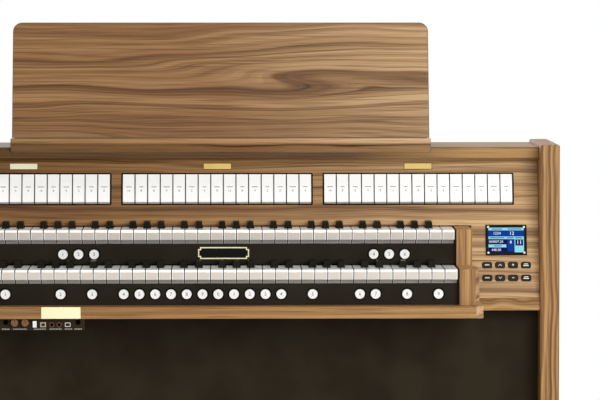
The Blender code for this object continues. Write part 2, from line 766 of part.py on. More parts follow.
def build_manual(manual, key_front, key_top):
    """One manual: two alternating sets of naturals and a set of sharps, their spines stacked at the rear."""
    pivot = add_frame(f"{manual}_manual_pivot", (0.0, key_front + KEY_LENGTH, key_top - KEY_PIVOT_DROP))
    sharps = sharp_places()
    width = KEYBOARD_WIDTH + KEY_PITCH
    body_middle = KEY_PIVOT_DROP - KEY_BODY_DROP / 2
    for level, word in ((0, "odd"), (1, "even")):
        teeth = [natural_tooth(i, sharps) for i in range(level, NATURALS_PER_MANUAL, 2)]
        outline = comb_outline(teeth, -KEY_SPINE_DEPTH, -KEY_GAP)
        mesh = outline_mesh([outline], KEY_BODY_DROP, PLAN, body_middle)
        naturals = add_part(f"{manual}_naturals_{word}", mesh, "ivory_plastic", parent=pivot)
        shapes = (undercut_profile(), nose_profile())
        bodies = [(outline_mesh([shape], width, SIDE), (0, 0, 0)) for shape in shapes]
        bodies += spine_cuts(level, width)
        cutter = add_cutter(f"{manual}_naturals_{word}_cuts", gathered(bodies), pivot)
        cut(naturals, cutter, solver="MANIFOLD")

    half = SHARP_WIDTH / 2
    front = -KEY_LENGTH + SHARP_SETBACK
    teeth = [
        [(x - half, 0.0), (x - half, front), (x + half, front), (x + half, 0.0)] for x in sharps.values()
    ]
    height = KEY_BODY_DROP + SHARP_RISE
    outline = comb_outline(teeth, -KEY_SPINE_DEPTH, -KEY_GAP)
    mesh = outline_mesh([outline], height, PLAN, KEY_PIVOT_DROP + SHARP_RISE - height / 2)
    sharp_set = add_part(f"{manual}_sharps", mesh, "black_plastic", parent=pivot)
    cut(sharp_set, add_cutter(f"{manual}_sharps_rear_cuts", gathered(spine_cuts(2, width)), pivot))
    cut(sharp_set, add_cutter(f"{manual}_sharps_cap_cuts", gathered(sharp_cuts(width)), pivot))
    bpy.context.view_layer.update()
    for vertex in baked(sharp_set).vertices:
        if vertex.co.z > KEY_PIVOT_DROP + SHARP_RISE / 2:
            middle = min(sharps.values(), key=lambda x: abs(x - vertex.co.x))
            vertex.co.x = middle + (vertex.co.x - middle) * SHARP_TOP_WIDTH / SHARP_WIDTH


def stop_rail_top(key_top, setback):
    """How high the frame's stop may stand for a key to reach its full dip."""
    dip = KEY_DIP * (KEY_LENGTH - setback) / KEY_LENGTH
    return key_top - KEY_BODY_DROP - dip - STOP_CLEARANCE


def frame_profile(key_front, key_top, floor_z):
    """A folded steel tray: a floor, and a rear wall that the key sets hang on."""
    front = key_front + FRAME_STOP_SETBACK
    wall_front = key_front + KEY_LENGTH
    wall_top = key_top - SHARP_NOTCH
    floor_top = floor_z + FRAME_PLATE
    return [
        (front, floor_z),
        (wall_front + FRAME_PLATE, floor_z),
        (wall_front + FRAME_PLATE, wall_top),
        (wall_front, wall_top),
        (wall_front, floor_top),
        (front, floor_top),
    ]


def key_stop_profile(key_front, key_top, floor_z):
    """The felted rail on the tray's front edge that the pressed keys come down on."""
    front = key_front + FRAME_STOP_SETBACK
    back = front + FRAME_STOP_DEPTH
    bottom = floor_z + FRAME_PLATE + GAP
    top = stop_rail_top(key_top, FRAME_STOP_SETBACK)
    return [
        (front, bottom),
        (back, bottom),
        (back, top - FRAME_STOP_CHAMFER),
        (back - FRAME_STOP_CHAMFER, top),
        (front + FRAME_STOP_CHAMFER, top),
        (front, top - FRAME_STOP_CHAMFER),
    ]


def build_key_frames():
    """The steel frame of each manual, with its felted stop rail."""
    width = 2 * (BLOCK_INNER_X - GAP)
    manuals = (
        ("upper", UPPER_KEY_FRONT_Y, UPPER_KEY_TOP_Z, UPPER_KEY_TOP_Z - KEY_PIVOT_DROP - UPPER_FRAME_DEPTH),
        ("lower", LOWER_KEY_FRONT_Y, LOWER_KEY_TOP_Z, BED_TOP_Z + GAP),
    )
    for manual, key_front, key_top, floor_z in manuals:
        tray = frame_profile(key_front, key_top, floor_z)
        add_part(f"{manual}_key_frame", outline_mesh([tray], width, SIDE), "steel")
        stop = key_stop_profile(key_front, key_top, floor_z)
        add_part(f"{manual}_key_stop", outline_mesh([stop], width, SIDE), "felt")


# Stop panel, in its own frame: X across, Z up the slope, Y into the panel


def panel_button_centres():
    """Centres of the menu buttons, across and up the slope."""
    first = DISPLAY_X - (BUTTON_COLUMNS - 1) / 2 * BUTTON_PITCH_X
    return [
        (first + column * BUTTON_PITCH_X, BUTTON_LOW_RISE + row * BUTTON_PITCH_RISE)
        for row in range(BUTTON_ROWS)
        for column in range(BUTTON_COLUMNS)
    ]


def tab_slot(centre_x, count, margin):
    """The opening that a group of stop tabs sits in."""
    size = (count * TAB_PITCH - TAB_GAP + 2 * margin, TAB_HEIGHT + 2 * margin)
    return centred_rectangle((centre_x, TAB_SLOT_FOOT + TAB_HEIGHT / 2), size)


def build_stop_panel():
    """The leaning panel over the manuals and beside them, and everything that sits in it."""
    plane = add_frame("stop_panel_plane", (0.0, PANEL_FOOT_Y, BED_TOP_Z), (-PANEL_LEAN, 0.0, 0.0))
    clear = 0.03
    slope_height = (TOP_BOARD_BOTTOM_Z - BED_TOP_Z) / math.cos(PANEL_LEAN)
    outline = rectangle(-CASE_INNER_X, CASE_INNER_X, -clear, slope_height + clear)
    holes = [tab_slot(x, count, TAB_SLOT_MARGIN) for _, _, x, count in TAB_GROUPS]
    screen_size = [side + 2 * SLIDE_FIT for side in SCREEN_BODY_SIZE]
    holes.append(centred_rectangle((DISPLAY_X, DISPLAY_RISE), screen_size))
    for centre in panel_button_centres():
        size = [side + 2 * SLIDE_FIT for side in BUTTON_SIZE]
        holes.append(rounded_rectangle(centre, size, BUTTON_CORNER, 1))
    mesh = outline_mesh([outline, *holes], PANEL_THICKNESS, FRONT, PANEL_THICKNESS / 2)
    panel = add_part("stop_panel", mesh, "walnut", parent=plane)

    wide = SIDE_INNER_X + clear
    mouth = PANEL_MOUTH_HALF_WIDTH
    foot = BED_TOP_Z + GAP
    below = [
        (-wide, foot - 3 * clear), (wide, foot - 3 * clear), (wide, foot), (mouth, foot),
        (mouth, PANEL_MOUTH_TOP_Z), (-mouth, PANEL_MOUTH_TOP_Z), (-mouth, foot), (-wide, foot),
    ]
    above = rectangle(-wide, wide, TOP_BOARD_BOTTOM_Z - GAP, TOP_BOARD_BOTTOM_Z + 3 * clear)
    depth = CASE_BACK_Y - DESK_FRONT_Y
    centre = (CASE_BACK_Y + DESK_FRONT_Y) / 2
    bodies = [(outline_mesh([shape], depth, FRONT, centre), (0, 0, 0)) for shape in (below, above)]
    cut(panel, add_cutter("manual_mouth", gathered(bodies)), solver="MANIFOLD")

    build_stop_tabs(plane)
    build_display(plane)
    return plane


def build_stop_tabs(plane):
    """Three rows of rocking stop tabs, each row on a spine across its slot, with a switch board behind."""
    back = TAB_THICKNESS - TAB_PROUD
    pivot_y = back + TAB_SPINE_DEPTH / 2
    pivot_rise = TAB_SLOT_FOOT + TAB_HEIGHT - TAB_SPINE_DROP - TAB_SPINE_HEIGHT / 2
    low = TAB_SLOT_FOOT - pivot_rise
    face = -TAB_PROUD - pivot_y
    rear = back - pivot_y
    side = [
        (face, low + TAB_HEIGHT), (face, low + TAB_LIP), (face + TAB_LIP_RAKE, low), (rear, low),
        (rear, low + TAB_HEIGHT),
    ]
    tab = outline_mesh([side], TAB_PITCH - TAB_GAP, SIDE)
    for name, board_name, centre_x, count in TAB_GROUPS:
        places = [(tab, ((i + 0.5 - count / 2) * TAB_PITCH, 0, 0)) for i in range(count)]
        place = (centre_x, pivot_y, pivot_rise)
        row = add_part(name, gathered(places), "tab_plastic", place, plane)
        half = (count * TAB_PITCH - TAB_PITCH / 2) / 2
        spine = box_mesh(
            (-half, rear - TAB_SPINE_LAP, -TAB_SPINE_HEIGHT / 2),
            (half, rear + TAB_SPINE_DEPTH, TAB_SPINE_HEIGHT / 2),
        )
        cutter = add_cutter(f"{name}_spine", spine, plane)
        cutter.location = place
        cut(row, cutter, "UNION")
        board = outline_mesh([tab_slot(centre_x, count, SWITCH_BOARD_MARGIN)], SWITCH_BOARD_THICKNESS, FRONT)
        place = (0, PANEL_THICKNESS + GAP + SWITCH_BOARD_THICKNESS / 2, 0)
        add_part(board_name, board, "circuit_board", place, plane)


def build_display(plane):
    """The display in its bezel, and the two rows of menu buttons below it."""
    centre = (DISPLAY_X, DISPLAY_RISE)
    rings = [centred_rectangle(centre, DISPLAY_SIZE), centred_rectangle(centre, DISPLAY_WINDOW)]
    bezel = outline_mesh(rings, DISPLAY_PROUD - GAP, FRONT, -(DISPLAY_PROUD + GAP) / 2)
    add_part("display_bezel", bezel, "black_plastic", parent=plane)

    glass_size = [side - 2 * GAP for side in DISPLAY_WINDOW]
    glass_front = -DISPLAY_PROUD + SCREEN_RECESS
    glass = outline_mesh(
        [centred_rectangle(centre, glass_size)], -glass_front - GAP, FRONT, (glass_front - GAP) / 2
    )
    body = outline_mesh([centred_rectangle(centre, SCREEN_BODY_SIZE)], SCREEN_BODY_DEPTH, FRONT)
    screen = add_part("display_screen", glass, "screen_glass", parent=plane)
    shift = SCREEN_BODY_DEPTH / 2 - 2 * GAP
    cut(screen, add_cutter("screen_body", gathered([(body, (0, shift, 0))]), plane), "UNION")

    cap = outline_mesh([rounded_rectangle((0, 0), BUTTON_SIZE, BUTTON_CORNER, 1)], BUTTON_DEPTH, FRONT)
    middle_y = BUTTON_DEPTH / 2 - BUTTON_PROUD
    caps = gathered([(cap, (x, 0, z)) for x, z in panel_button_centres()])
    buttons = add_part("menu_buttons", caps, "black_plastic", (0, middle_y, 0), plane)
    centres = panel_button_centres()
    left, right = centres[0][0] - BUTTON_SIZE[0] / 3, centres[-1][0] + BUTTON_SIZE[0] / 3
    low, high = centres[0][1] - BUTTON_SIZE[1] / 3, centres[-1][1] + BUTTON_SIZE[1] / 3
    mat_front = PANEL_THICKNESS + GAP
    mat = box_mesh((left, mat_front, low), (right, mat_front + BUTTON_MAT_THICKNESS, high))
    cut(buttons, add_cutter("button_mat", mat, plane), "UNION")


# Music desk


def nosed(left, right, low, high, ends):
    """The corners of a slab seen along its edge, with the named ends rounded over."""
    corners = []
    quarter = [math.pi / 2 * i / LEDGE_NOSE_STEPS for i in range(LEDGE_NOSE_STEPS + 1)]
    around = ((right, low, -1, 1), (right, high, 0, 1), (left, high, 1, -1), (left, low, 2, -1))
    for x, z, turn, end in around:
        if end not in ends:
            corners.append((x, z))
            continue
        centre = (x - end * LEDGE_NOSE, z + (LEDGE_NOSE if z == low else -LEDGE_NOSE))
        angles = [turn * math.pi / 2 + a for a in quarter]
        corners += [
            (centre[0] + LEDGE_NOSE * math.cos(a), centre[1] + LEDGE_NOSE * math.sin(a)) for a in angles
        ]
    return corners


def build_music_desk():
    """The leaning desk board on its ledge, with two brackets behind."""
    half = LEDGE_WIDTH / 2
    back = LEDGE_FRONT_Y + LEDGE_DEPTH
    side = nosed(LEDGE_FRONT_Y, back, LEDGE_BOTTOM_Z, LEDGE_TOP_Z, (-1,))
    ledge = add_part("music_ledge", outline_mesh([side], LEDGE_WIDTH, SIDE), "walnut", (DESK_SHIFT_X, 0, 0))
    front = nosed(-half, half, LEDGE_BOTTOM_Z, LEDGE_TOP_Z, (-1, 1))
    shifted = [(x + DESK_SHIFT_X, z) for x, z in front]
    ends = outline_mesh([shifted], 2 * LEDGE_DEPTH, FRONT, LEDGE_FRONT_Y + LEDGE_DEPTH / 2)
    cut(ledge, add_cutter("ledge_ends", ends), "INTERSECT")

    base = (DESK_SHIFT_X, LEDGE_FRONT_Y + DESK_SETBACK, LEDGE_TOP_Z)
    seat = add_frame("music_desk_foot", base, (-DESK_LEAN, 0.0, 0.0))
    low = -DESK_THICKNESS
    shape = rounded_rectangle((0.0, DESK_HEIGHT / 2), (DESK_WIDTH, DESK_HEIGHT), DESK_CORNER, 6)
    top_half = [point for point in shape if point[1] > DESK_HEIGHT / 2]
    board_outline = top_half + [(-DESK_WIDTH / 2, low), (DESK_WIDTH / 2, low)]
    mesh = outline_mesh([board_outline], DESK_THICKNESS, FRONT, DESK_THICKNESS / 2)
    board = add_part("music_desk", mesh, "walnut", parent=seat)
    foot_cut = box_mesh(
        (-DESK_WIDTH, LEDGE_FRONT_Y - DESK_THICKNESS, LEDGE_TOP_Z - 4 * DESK_THICKNESS),
        (DESK_WIDTH, CASE_BACK_Y, LEDGE_TOP_Z + GAP),
    )
    cut(board, add_cutter("desk_foot_cut", foot_cut))

    back_y = base[1] + DESK_THICKNESS / math.cos(DESK_LEAN) + GAP / math.cos(DESK_LEAN)
    rise = BRACKET_HEIGHT
    foot_z = LEDGE_TOP_Z - LEDGE_THICKNESS / 2
    side = [
        (back_y + GAP, foot_z),
        (back_y + BRACKET_DEPTH, foot_z),
        (back_y + BRACKET_DEPTH, LEDGE_TOP_Z + BRACKET_WIDTH),
        (back_y + rise * math.tan(DESK_LEAN) + BRACKET_WIDTH, LEDGE_TOP_Z + rise),
        (back_y + GAP + rise * math.tan(DESK_LEAN), LEDGE_TOP_Z + rise),
        (back_y + GAP, LEDGE_TOP_Z),
    ]
    bracket = outline_mesh([side], BRACKET_WIDTH, SIDE)
    places = [(bracket, (DESK_SHIFT_X + sign * BRACKET_X, 0, 0)) for sign in (-1, 1)]
    cut(ledge, add_cutter("desk_brackets", gathered(places)), "UNION")


# Socket box


def build_socket_box():
    """The small box under the key bed with two knobs, a rocker switch and two jack sockets."""
    width, depth, height = SOCKET_BOX_SIZE
    front = DESK_FRONT_Y + SOCKET_BOX_SETBACK
    low = BED_BOTTOM_Z - GAP - height
    box = box_mesh(
        (SOCKET_BOX_X - width / 2, front, low), (SOCKET_BOX_X + width / 2, front + depth, BED_BOTTOM_Z - GAP)
    )
    sockets = add_part("socket_box", box, "black_plastic")
    row_z = low + SOCKET_RISE
    for name, offset in zip(("first_volume_knob", "second_volume_knob"), KNOB_OFFSETS):
        knob = round_mesh(KNOB_RADIUS, KNOB_LENGTH, KNOB_GRIPS, "Y")
        place = (SOCKET_BOX_X + offset, front - GAP - KNOB_LENGTH / 2, row_z + KNOB_OVER_ROW)
        smooth_round(add_part(name, knob, "brass", place))

    switch_width, switch_height = SWITCH_SIZE
    rake = switch_height / 8
    face = [
        (0.0, -switch_height / 2), (0.0, switch_height / 2), (-3 * rake, switch_height / 2),
        (-2 * rake, 0.0), (-rake, -switch_height / 2),
    ]
    rocker = outline_mesh([face], switch_width, SIDE)
    place = (SOCKET_BOX_X + SWITCH_OFFSET, front - 3 * GAP, row_z + SWITCH_OVER_ROW)
    add_part("power_switch", rocker, "tab_plastic", place)

    collar = round_mesh(JACK_RADIUS, 2 * JACK_LENGTH, 12, "Y")
    bore = round_mesh(JACK_BORE_RADIUS, 2 * (JACK_LENGTH + JACK_BORE_DEPTH), 12, "Y")
    for word, mesh, operation in (("collars", collar, "UNION"), ("bores", bore, "DIFFERENCE")):
        places = [(mesh, (SOCKET_BOX_X + offset, front, row_z)) for offset in JACK_OFFSETS]
        cut(sockets, add_cutter(f"jack_{word}", gathered(places)), operation)


# Pedalboard


def pedal_place(natural):
    """X of a pedal natural, or of the sharp half a step after it."""
    return (natural - (PEDAL_NATURALS - 1) / 2) * PEDAL_PITCH


def build_pedalboard():
    """The docking pedalboard: frame, natural pedals and sharp pedals on a rear pivot rod."""
    hinge_y = PEDAL_BACK_Y - PEDAL_FRAME_BOARD
    hinge_z = PEDAL_TOP_Z - PEDAL_HINGE_DROP
    dock = add_frame("pedalboard_dock", (0.0, hinge_y, 0.0))
    half = PEDAL_FRAME_HALF_WIDTH
    board = PEDAL_FRAME_BOARD
    front = PEDAL_FRAME_FRONT_Y - hinge_y
    outer = rectangle(-half, half, front, board)
    inner = rectangle(-half + board, half - board, front + board, 0.0)
    ring = outline_mesh([outer, inner], PEDAL_FRAME_HEIGHT, PLAN, PEDAL_FRAME_HEIGHT / 2)
    pedal_frame = add_part("pedal_frame", ring, "walnut", parent=dock)
    clear = 0.010
    step = box_mesh(
        (-half - clear, front - clear, HEEL_BOARD_HEIGHT),
        (half + clear, front + board, PEDAL_FRAME_HEIGHT + clear),
    )
    cut(pedal_frame, add_cutter("heel_board_step", step, dock))
    rest_top = PEDAL_TOP_Z - PEDAL_DEPTH - PEDAL_DIP - STOP_CLEARANCE
    rest_front = front + board + PEDAL_REST_SETBACK
    rest = box_mesh(
        (-half + clear, rest_front, rest_top - board), (half - clear, rest_front + board, rest_top)
    )
    cut(pedal_frame, add_cutter("pedal_rest_rail", rest, dock), "UNION")

    bar_front = front + board + PEDAL_CLEARANCE
    top = PEDAL_TOP_Z - hinge_z
    low = top - PEDAL_DEPTH
    width = 2 * half
    natural_places = [pedal_place(i) for i in range(PEDAL_NATURALS)]
    sharp_pedals = [pedal_place(i + 0.5) for i in range(PEDAL_NATURALS - 1) if i % 7 in SHARP_STEPS]
    spine_front = -PEDAL_SPINE_DEPTH
    middle_z = top - PEDAL_DEPTH / 2
    sets = (
        ("pedal_naturals", natural_places, PEDAL_DEPTH, "oak", low + PEDAL_SPINE_HEIGHT, top + 3 * clear),
        (
            "pedal_sharps", sharp_pedals, PEDAL_DEPTH + PEDAL_SHARP_RISE, "black_plastic",
            low - clear, middle_z + GAP,
        ),
    )
    for name, places, height, finish, cut_low, cut_high in sets:
        reach = PEDAL_WIDTH / 2
        teeth = [
            [(x - reach, 0), (x - reach, bar_front), (x + reach, bar_front), (x + reach, 0)] for x in places
        ]
        outline = comb_outline(teeth, spine_front, -PEDAL_HINGE_GAP)
        comb = outline_mesh([outline], height, PLAN, low + height / 2)
        pedals = add_part(name, comb, finish, (0, 0, hinge_z), dock)
        bodies = [box_mesh((-half, spine_front - PEDAL_CLEARANCE, cut_low), (half, clear, cut_high))]
        if name == "pedal_sharps":
            corner = (-half, spine_front - PEDAL_CLEARANCE, top - PEDAL_CLEARANCE)
            bodies.append(box_mesh(corner, (half, clear, top + width)))
            bodies += pedal_sharp_cuts(bar_front, top, width, PEDAL_SHARP_FRONT_Y - hinge_y)
        for number, body in enumerate(bodies):
            cutter = add_cutter(f"{name}_cut_{number}", body, dock)
            cutter.location = (0, 0, hinge_z)
            cut(pedals, cutter, solver="MANIFOLD")


def pedal_sharp_cuts(bar_front, top, width, sharp_front):
    """What leaves the raised toe block on each sharp pedal: the wood in front of it, and behind it."""
    clear = 0.010
    lowered = top - PEDAL_CLEARANCE
    rise = top + PEDAL_SHARP_RISE
    sharp_back = sharp_front + PEDAL_SHARP_LENGTH
    before = [
        (bar_front - clear, lowered), (sharp_front, lowered), (sharp_front, rise - PEDAL_SHARP_RAKE),
        (sharp_front + PEDAL_SHARP_RAKE, rise), (sharp_front + PEDAL_SHARP_RAKE, rise + clear),
        (bar_front - clear, rise + clear),
    ]
    behind = [(sharp_back, lowered), (clear, lowered), (clear, rise + clear), (sharp_back, rise + clear)]
    return [outline_mesh([shape], width, SIDE) for shape in (before, behind)]


def build_expression_pedals():
    """Two expression pedals on an axle, in a folded bracket under the case floor."""
    axle_y, axle_z = EXPRESSION_AXLE
    half = EXPRESSION_BRACKET_HALF_WIDTH
    plate = EXPRESSION_BRACKET_PLATE
    top_z = CASE_FLOOR_Z - GAP
    low_z = axle_z - 2 * EXPRESSION_AXLE_RADIUS
    front = [
        (-half, low_z), (-half + plate, low_z), (-half + plate, top_z - plate), (half - plate, top_z - plate),
        (half - plate, low_z), (half, low_z), (half, top_z), (-half, top_z),
    ]
    bracket_y = axle_y + EXPRESSION_BRACKET_DEPTH / 4
    bracket = add_part(
        "expression_bracket", outline_mesh([front], EXPRESSION_BRACKET_DEPTH, FRONT, bracket_y), "steel"
    )
    axle = round_mesh(EXPRESSION_AXLE_RADIUS, 2 * half - plate, 12, "X")
    cut(bracket, add_cutter("expression_axle", gathered([(axle, (0, axle_y, axle_z))])), "UNION")

    width, length, thick = EXPRESSION_SIZE
    sole = EXPRESSION_AXLE_RADIUS + GAP
    profile = [
        (-EXPRESSION_HEEL, sole), (length - EXPRESSION_HEEL, sole), (length - EXPRESSION_HEEL, sole + thick),
        (-EXPRESSION_HEEL + thick, sole + thick), (-EXPRESSION_HEEL + thick / 2, sole + 2 * thick),
        (-EXPRESSION_HEEL, sole + 2 * thick),
    ]
    for name, sign in (("general_volume_pedal", -1), ("swell_pedal", 1)):
        shape = outline_mesh([profile], width, SIDE)
        shoe = add_part(name, shape, "rubber", (sign * EXPRESSION_X, axle_y, axle_z))
        shoe.rotation_euler = (EXPRESSION_LEAN, 0.0, 0.0)


# Sound and electronics


def woofer_mesh():
    """A loudspeaker turned about its own axis, from the mounting flange back to the magnet."""
    flange = 0.004
    waist = WOOFER_MAGNET_RADIUS + 0.004
    points = [
        (0.0, 0.0), (WOOFER_RADIUS, 0.0), (WOOFER_RADIUS, -flange), (WOOFER_RADIUS - 0.008, -flange),
        (waist, -WOOFER_DEPTH * 0.6), (WOOFER_MAGNET_RADIUS, -WOOFER_DEPTH * 0.6),
        (WOOFER_MAGNET_RADIUS, -WOOFER_DEPTH), (0.0, -WOOFER_DEPTH),
    ]
    mesh = bpy.data.meshes.new("woofer_profile")
    mesh.from_pydata([(r, 0.0, z) for r, z in points], [(i, i + 1) for i in range(len(points) - 1)], [])
    holder = bpy.data.objects.new("woofer_profile", mesh)
    CUTTERS.objects.link(holder)
    screw = holder.modifiers.new("turn", "SCREW")
    screw.axis = "Z"
    screw.steps = WOOFER_SIDES
    screw.render_steps = WOOFER_SIDES
    screw.use_merge_vertices = True
    screw.merge_threshold = 0.00005
    graph = bpy.context.evaluated_depsgraph_get()
    turned = bpy.data.meshes.new_from_object(holder.evaluated_get(graph))
    bpy.data.objects.remove(holder, do_unlink=True)
    turned.transform(Matrix.Rotation(math.pi / 2, 4, "X"))
    bm = bmesh.new()
    bm.from_mesh(turned)
    return mesh_from(bm)


def build_loudspeakers():
    """The two loudspeakers behind the knee panel."""
    y = KNEE_PANEL_Y + KNEE_PANEL_THICKNESS + GAP
    for name, sign in (("left_loudspeaker", -1), ("right_loudspeaker", 1)):
        smooth_round(add_part(name, woofer_mesh(), "cone_paper", (sign * WOOFER_X, y, WOOFER_Z)))


def build_electronics():
    """The amplifier with its fins, power supply, main board and mains inlet."""
    back = BACK_PANEL_FRONT_Y - ELECTRONICS_CLEARANCE
    floor = CASE_FLOOR_TOP_Z + GAP
    width, depth, height = AMPLIFIER_SIZE
    half = width / 2
    pitch = (width - FIN_THICKNESS) / (AMPLIFIER_FINS - 1)
    outline = [(half, 0.0), (half, height + FIN_HEIGHT)]
    for fin in range(AMPLIFIER_FINS):
        right = half - fin * pitch
        outline.append((right, height + FIN_HEIGHT))
        outline.append((right - FIN_THICKNESS, height + FIN_HEIGHT))
        if fin < AMPLIFIER_FINS - 1:
            outline.append((right - FIN_THICKNESS, height))
            outline.append((right - pitch, height))
    outline = outline[:1] + outline[2:]
    outline.append((-half, 0.0))
    body = outline_mesh([outline], depth, FRONT)
    add_part("amplifier", body, "aluminium", (AMPLIFIER_X, back - depth / 2, floor))

    width, depth, height = SUPPLY_SIZE
    supply = box_mesh((-width / 2, -depth, 0.0), (width / 2, 0.0, height))
    add_part("power_supply", supply, "steel", (SUPPLY_X, back, floor))

    face_y = BACK_PANEL_FRONT_Y - GAP
    board_back = face_y - STANDOFF_LENGTH
    board = outline_mesh(
        [centred_rectangle((0.0, MAIN_BOARD_Z), MAIN_BOARD_SIZE)],
        BOARD_THICKNESS,
        FRONT,
        board_back - BOARD_THICKNESS / 2,
    )
    main = add_part("main_board", board, "circuit_board")
    post_length = STANDOFF_LENGTH + BOARD_THICKNESS / 2
    post = round_mesh(STANDOFF_RADIUS, post_length, 8, "Y")
    reach_x = MAIN_BOARD_SIZE[0] / 2 - 2 * STANDOFF_RADIUS
    reach_z = MAIN_BOARD_SIZE[1] / 2 - 2 * STANDOFF_RADIUS
    posts = [
        (post, (sx * reach_x, face_y - post_length / 2, MAIN_BOARD_Z + sz * reach_z))
        for sx in (-1, 1)
        for sz in (-1, 1)
    ]
    cut(main, add_cutter("board_standoffs", gathered(posts)), "UNION")

    inlet_middle = CASE_BACK_Y - BACK_PANEL_INSET - INLET_DEPTH / 2
    outer = centred_rectangle((INLET_X, INLET_Z), INLET_SIZE)
    inlet = add_part("mains_inlet", outline_mesh([outer], INLET_DEPTH, FRONT, inlet_middle), "black_plastic")
    mouth = outline_mesh([centred_rectangle((INLET_X, INLET_Z), INLET_MOUTH)], 2 * INLET_MOUTH_DEPTH, FRONT)
    cut(inlet, add_cutter("inlet_mouth", gathered([(mouth, (0, CASE_BACK_Y - BACK_PANEL_INSET, 0))])))


def build_organ():
    """Builds every part of the organ."""
    build_sides()
    build_top_and_back()
    build_key_bed()
    build_key_blocks()
    rail_foot = BED_TOP_Z + GAP
    build_piston_rail(
        "lower", LOWER_KEY_FRONT_Y, rail_foot, LOWER_RAIL_HEIGHT,
        lower_piston_places(), BED_TOP_Z + LOWER_PISTON_RISE,
    )
    rail_top = UPPER_KEY_TOP_Z - UPPER_RAIL_BELOW_KEYS
    build_piston_rail(
        "upper",
        UPPER_KEY_FRONT_Y,
        rail_top - UPPER_RAIL_HEIGHT,
        UPPER_RAIL_HEIGHT,
        upper_piston_places(),
        rail_top - UPPER_PISTON_DROP,
    )
    build_manual("lower", LOWER_KEY_FRONT_Y, LOWER_KEY_TOP_Z)
    build_manual("upper", UPPER_KEY_FRONT_Y, UPPER_KEY_TOP_Z)
    build_key_frames()
    build_stop_panel()
    build_music_desk()
    build_socket_box()
    build_pedalboard()
    build_expression_pedals()
    build_loudspeakers()
    build_electronics()
    bpy.context.view_layer.update()


build_organ()
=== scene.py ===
"""Looks of the two-manual console organ: finishes, small trim, studio light and camera.

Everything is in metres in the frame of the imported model: X to the player's right, Y from the
player into the case, Z up from the floor.
"""

import logging
import math
from collections.abc import Iterable, Sequence
from dataclasses import dataclass
from enum import Enum
from typing import Any

import bmesh
import bpy
from mathutils import Matrix, Vector


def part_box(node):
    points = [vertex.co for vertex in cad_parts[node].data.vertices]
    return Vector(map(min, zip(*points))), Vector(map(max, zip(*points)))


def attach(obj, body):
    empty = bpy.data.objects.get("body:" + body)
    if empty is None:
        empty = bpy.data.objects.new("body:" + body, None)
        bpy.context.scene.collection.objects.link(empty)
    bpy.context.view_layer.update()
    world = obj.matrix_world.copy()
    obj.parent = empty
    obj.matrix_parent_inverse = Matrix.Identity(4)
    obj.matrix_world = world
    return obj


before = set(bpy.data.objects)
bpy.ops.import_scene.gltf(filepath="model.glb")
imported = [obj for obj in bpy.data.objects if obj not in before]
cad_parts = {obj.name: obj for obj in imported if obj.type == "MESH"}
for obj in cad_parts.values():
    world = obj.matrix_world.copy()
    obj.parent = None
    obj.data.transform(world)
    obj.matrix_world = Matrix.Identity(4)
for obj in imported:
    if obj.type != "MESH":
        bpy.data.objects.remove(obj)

LOG = logging.getLogger("organ")
Point = tuple[float, float]
Place = tuple[float, float, float]
Span = tuple[float, float, float]
Outline = Sequence[Point]
Tree = bpy.types.NodeTree
Socket = bpy.types.NodeSocket
Mesh = bmesh.types.BMesh

# Edges that turn by more than this are rounded, and stay crisp in smooth shading
SHARP_ANGLE = math.radians(35)
# Bare plates are a millimetre thick with a finely broken edge
PLATE_THICKNESS = 0.0010
PLATE_EDGE = 0.0003
# How thick printing is, and how far it stands off its face so that it shows
PRINT_THICKNESS = 0.0001
PRINT_LIFT = 0.00012
# How far the edges of small screw heads are rounded
SCREW_EDGE = 0.0006


class Grain(Enum):
    """The way the fibres of a board run, as the turn that brings them along X."""

    ACROSS = (0.0, 0.0, 0.0)
    UPRIGHT = (0.0, math.pi / 2, 0.0)
    DEEP = (0.0, 0.0, -math.pi / 2)


class Glyph(Enum):
    """The plain marks on the menu buttons."""

    WORD = "word"
    LINES = "lines"
    UP = "up"
    DOWN = "down"
    PLUS = "plus"
    MINUS = "minus"


# Node and colour helpers


def linear(code: str) -> tuple[float, float, float, float]:
    """Turns an sRGB hex colour into linear light.

    Args:
        code: Six hex digits, without a hash.

    Returns:
        Red, green, blue and an alpha of 1.
    """
    channels = [int(code[i : i + 2], 16) / 255 for i in (0, 2, 4)]
    light = [c / 12.92 if c <= 0.04045 else ((c + 0.055) / 1.055) ** 2.4 for c in channels]
    return light[0], light[1], light[2], 1.0


def set_inputs(node: bpy.types.Node, inputs: dict[Any, Any]) -> None:
    """Gives a node's inputs their values and links.

    Args:
        node: The node.
        inputs: A value or an output socket for each input, by name or number.
    """
    for key, value in inputs.items():
        if isinstance(value, Socket):
            node.id_data.links.new(value, node.inputs[key])
        else:
            node.inputs[key].default_value = value


def add_node(
    tree: Tree,
    kind: str,
    settings: dict[str, Any] | None = None,
    inputs: dict[Any, Any] | None = None,
    stops: Sequence[tuple[float, str]] = (),
) -> bpy.types.Node:
    """Adds a node, sets it and links it.

    Args:
        tree: The node tree that it goes in.
        kind: Its type, without the word ShaderNode.
        settings: Properties of the node.
        inputs: A value or an output socket for each input, by name or number.
        stops: Position and hex colour of each stop of a colour ramp, in order.

    Returns:
        The new node.
    """
    node = tree.nodes.new(f"ShaderNode{kind}")
    for name, value in (settings or {}).items():
        setattr(node, name, value)
    set_inputs(node, inputs or {})
    if stops:
        elements = node.color_ramp.elements
        while len(elements) < len(stops):
            elements.new(0.5)
        for element, (position, code) in zip(elements, stops):
            element.position = position
            element.color = linear(code)
    return node


def new_material(name: str) -> tuple[bpy.types.Material, Tree, bpy.types.Node]:
    """Makes a material with its Principled shader.

    Args:
        name: The material's name.

    Returns:
        The material, its node tree and its shader.
    """
    material = bpy.data.materials.new(name)
    material.use_nodes = True
    tree = material.node_tree
    return material, tree, tree.nodes["Principled BSDF"]


# Finishes


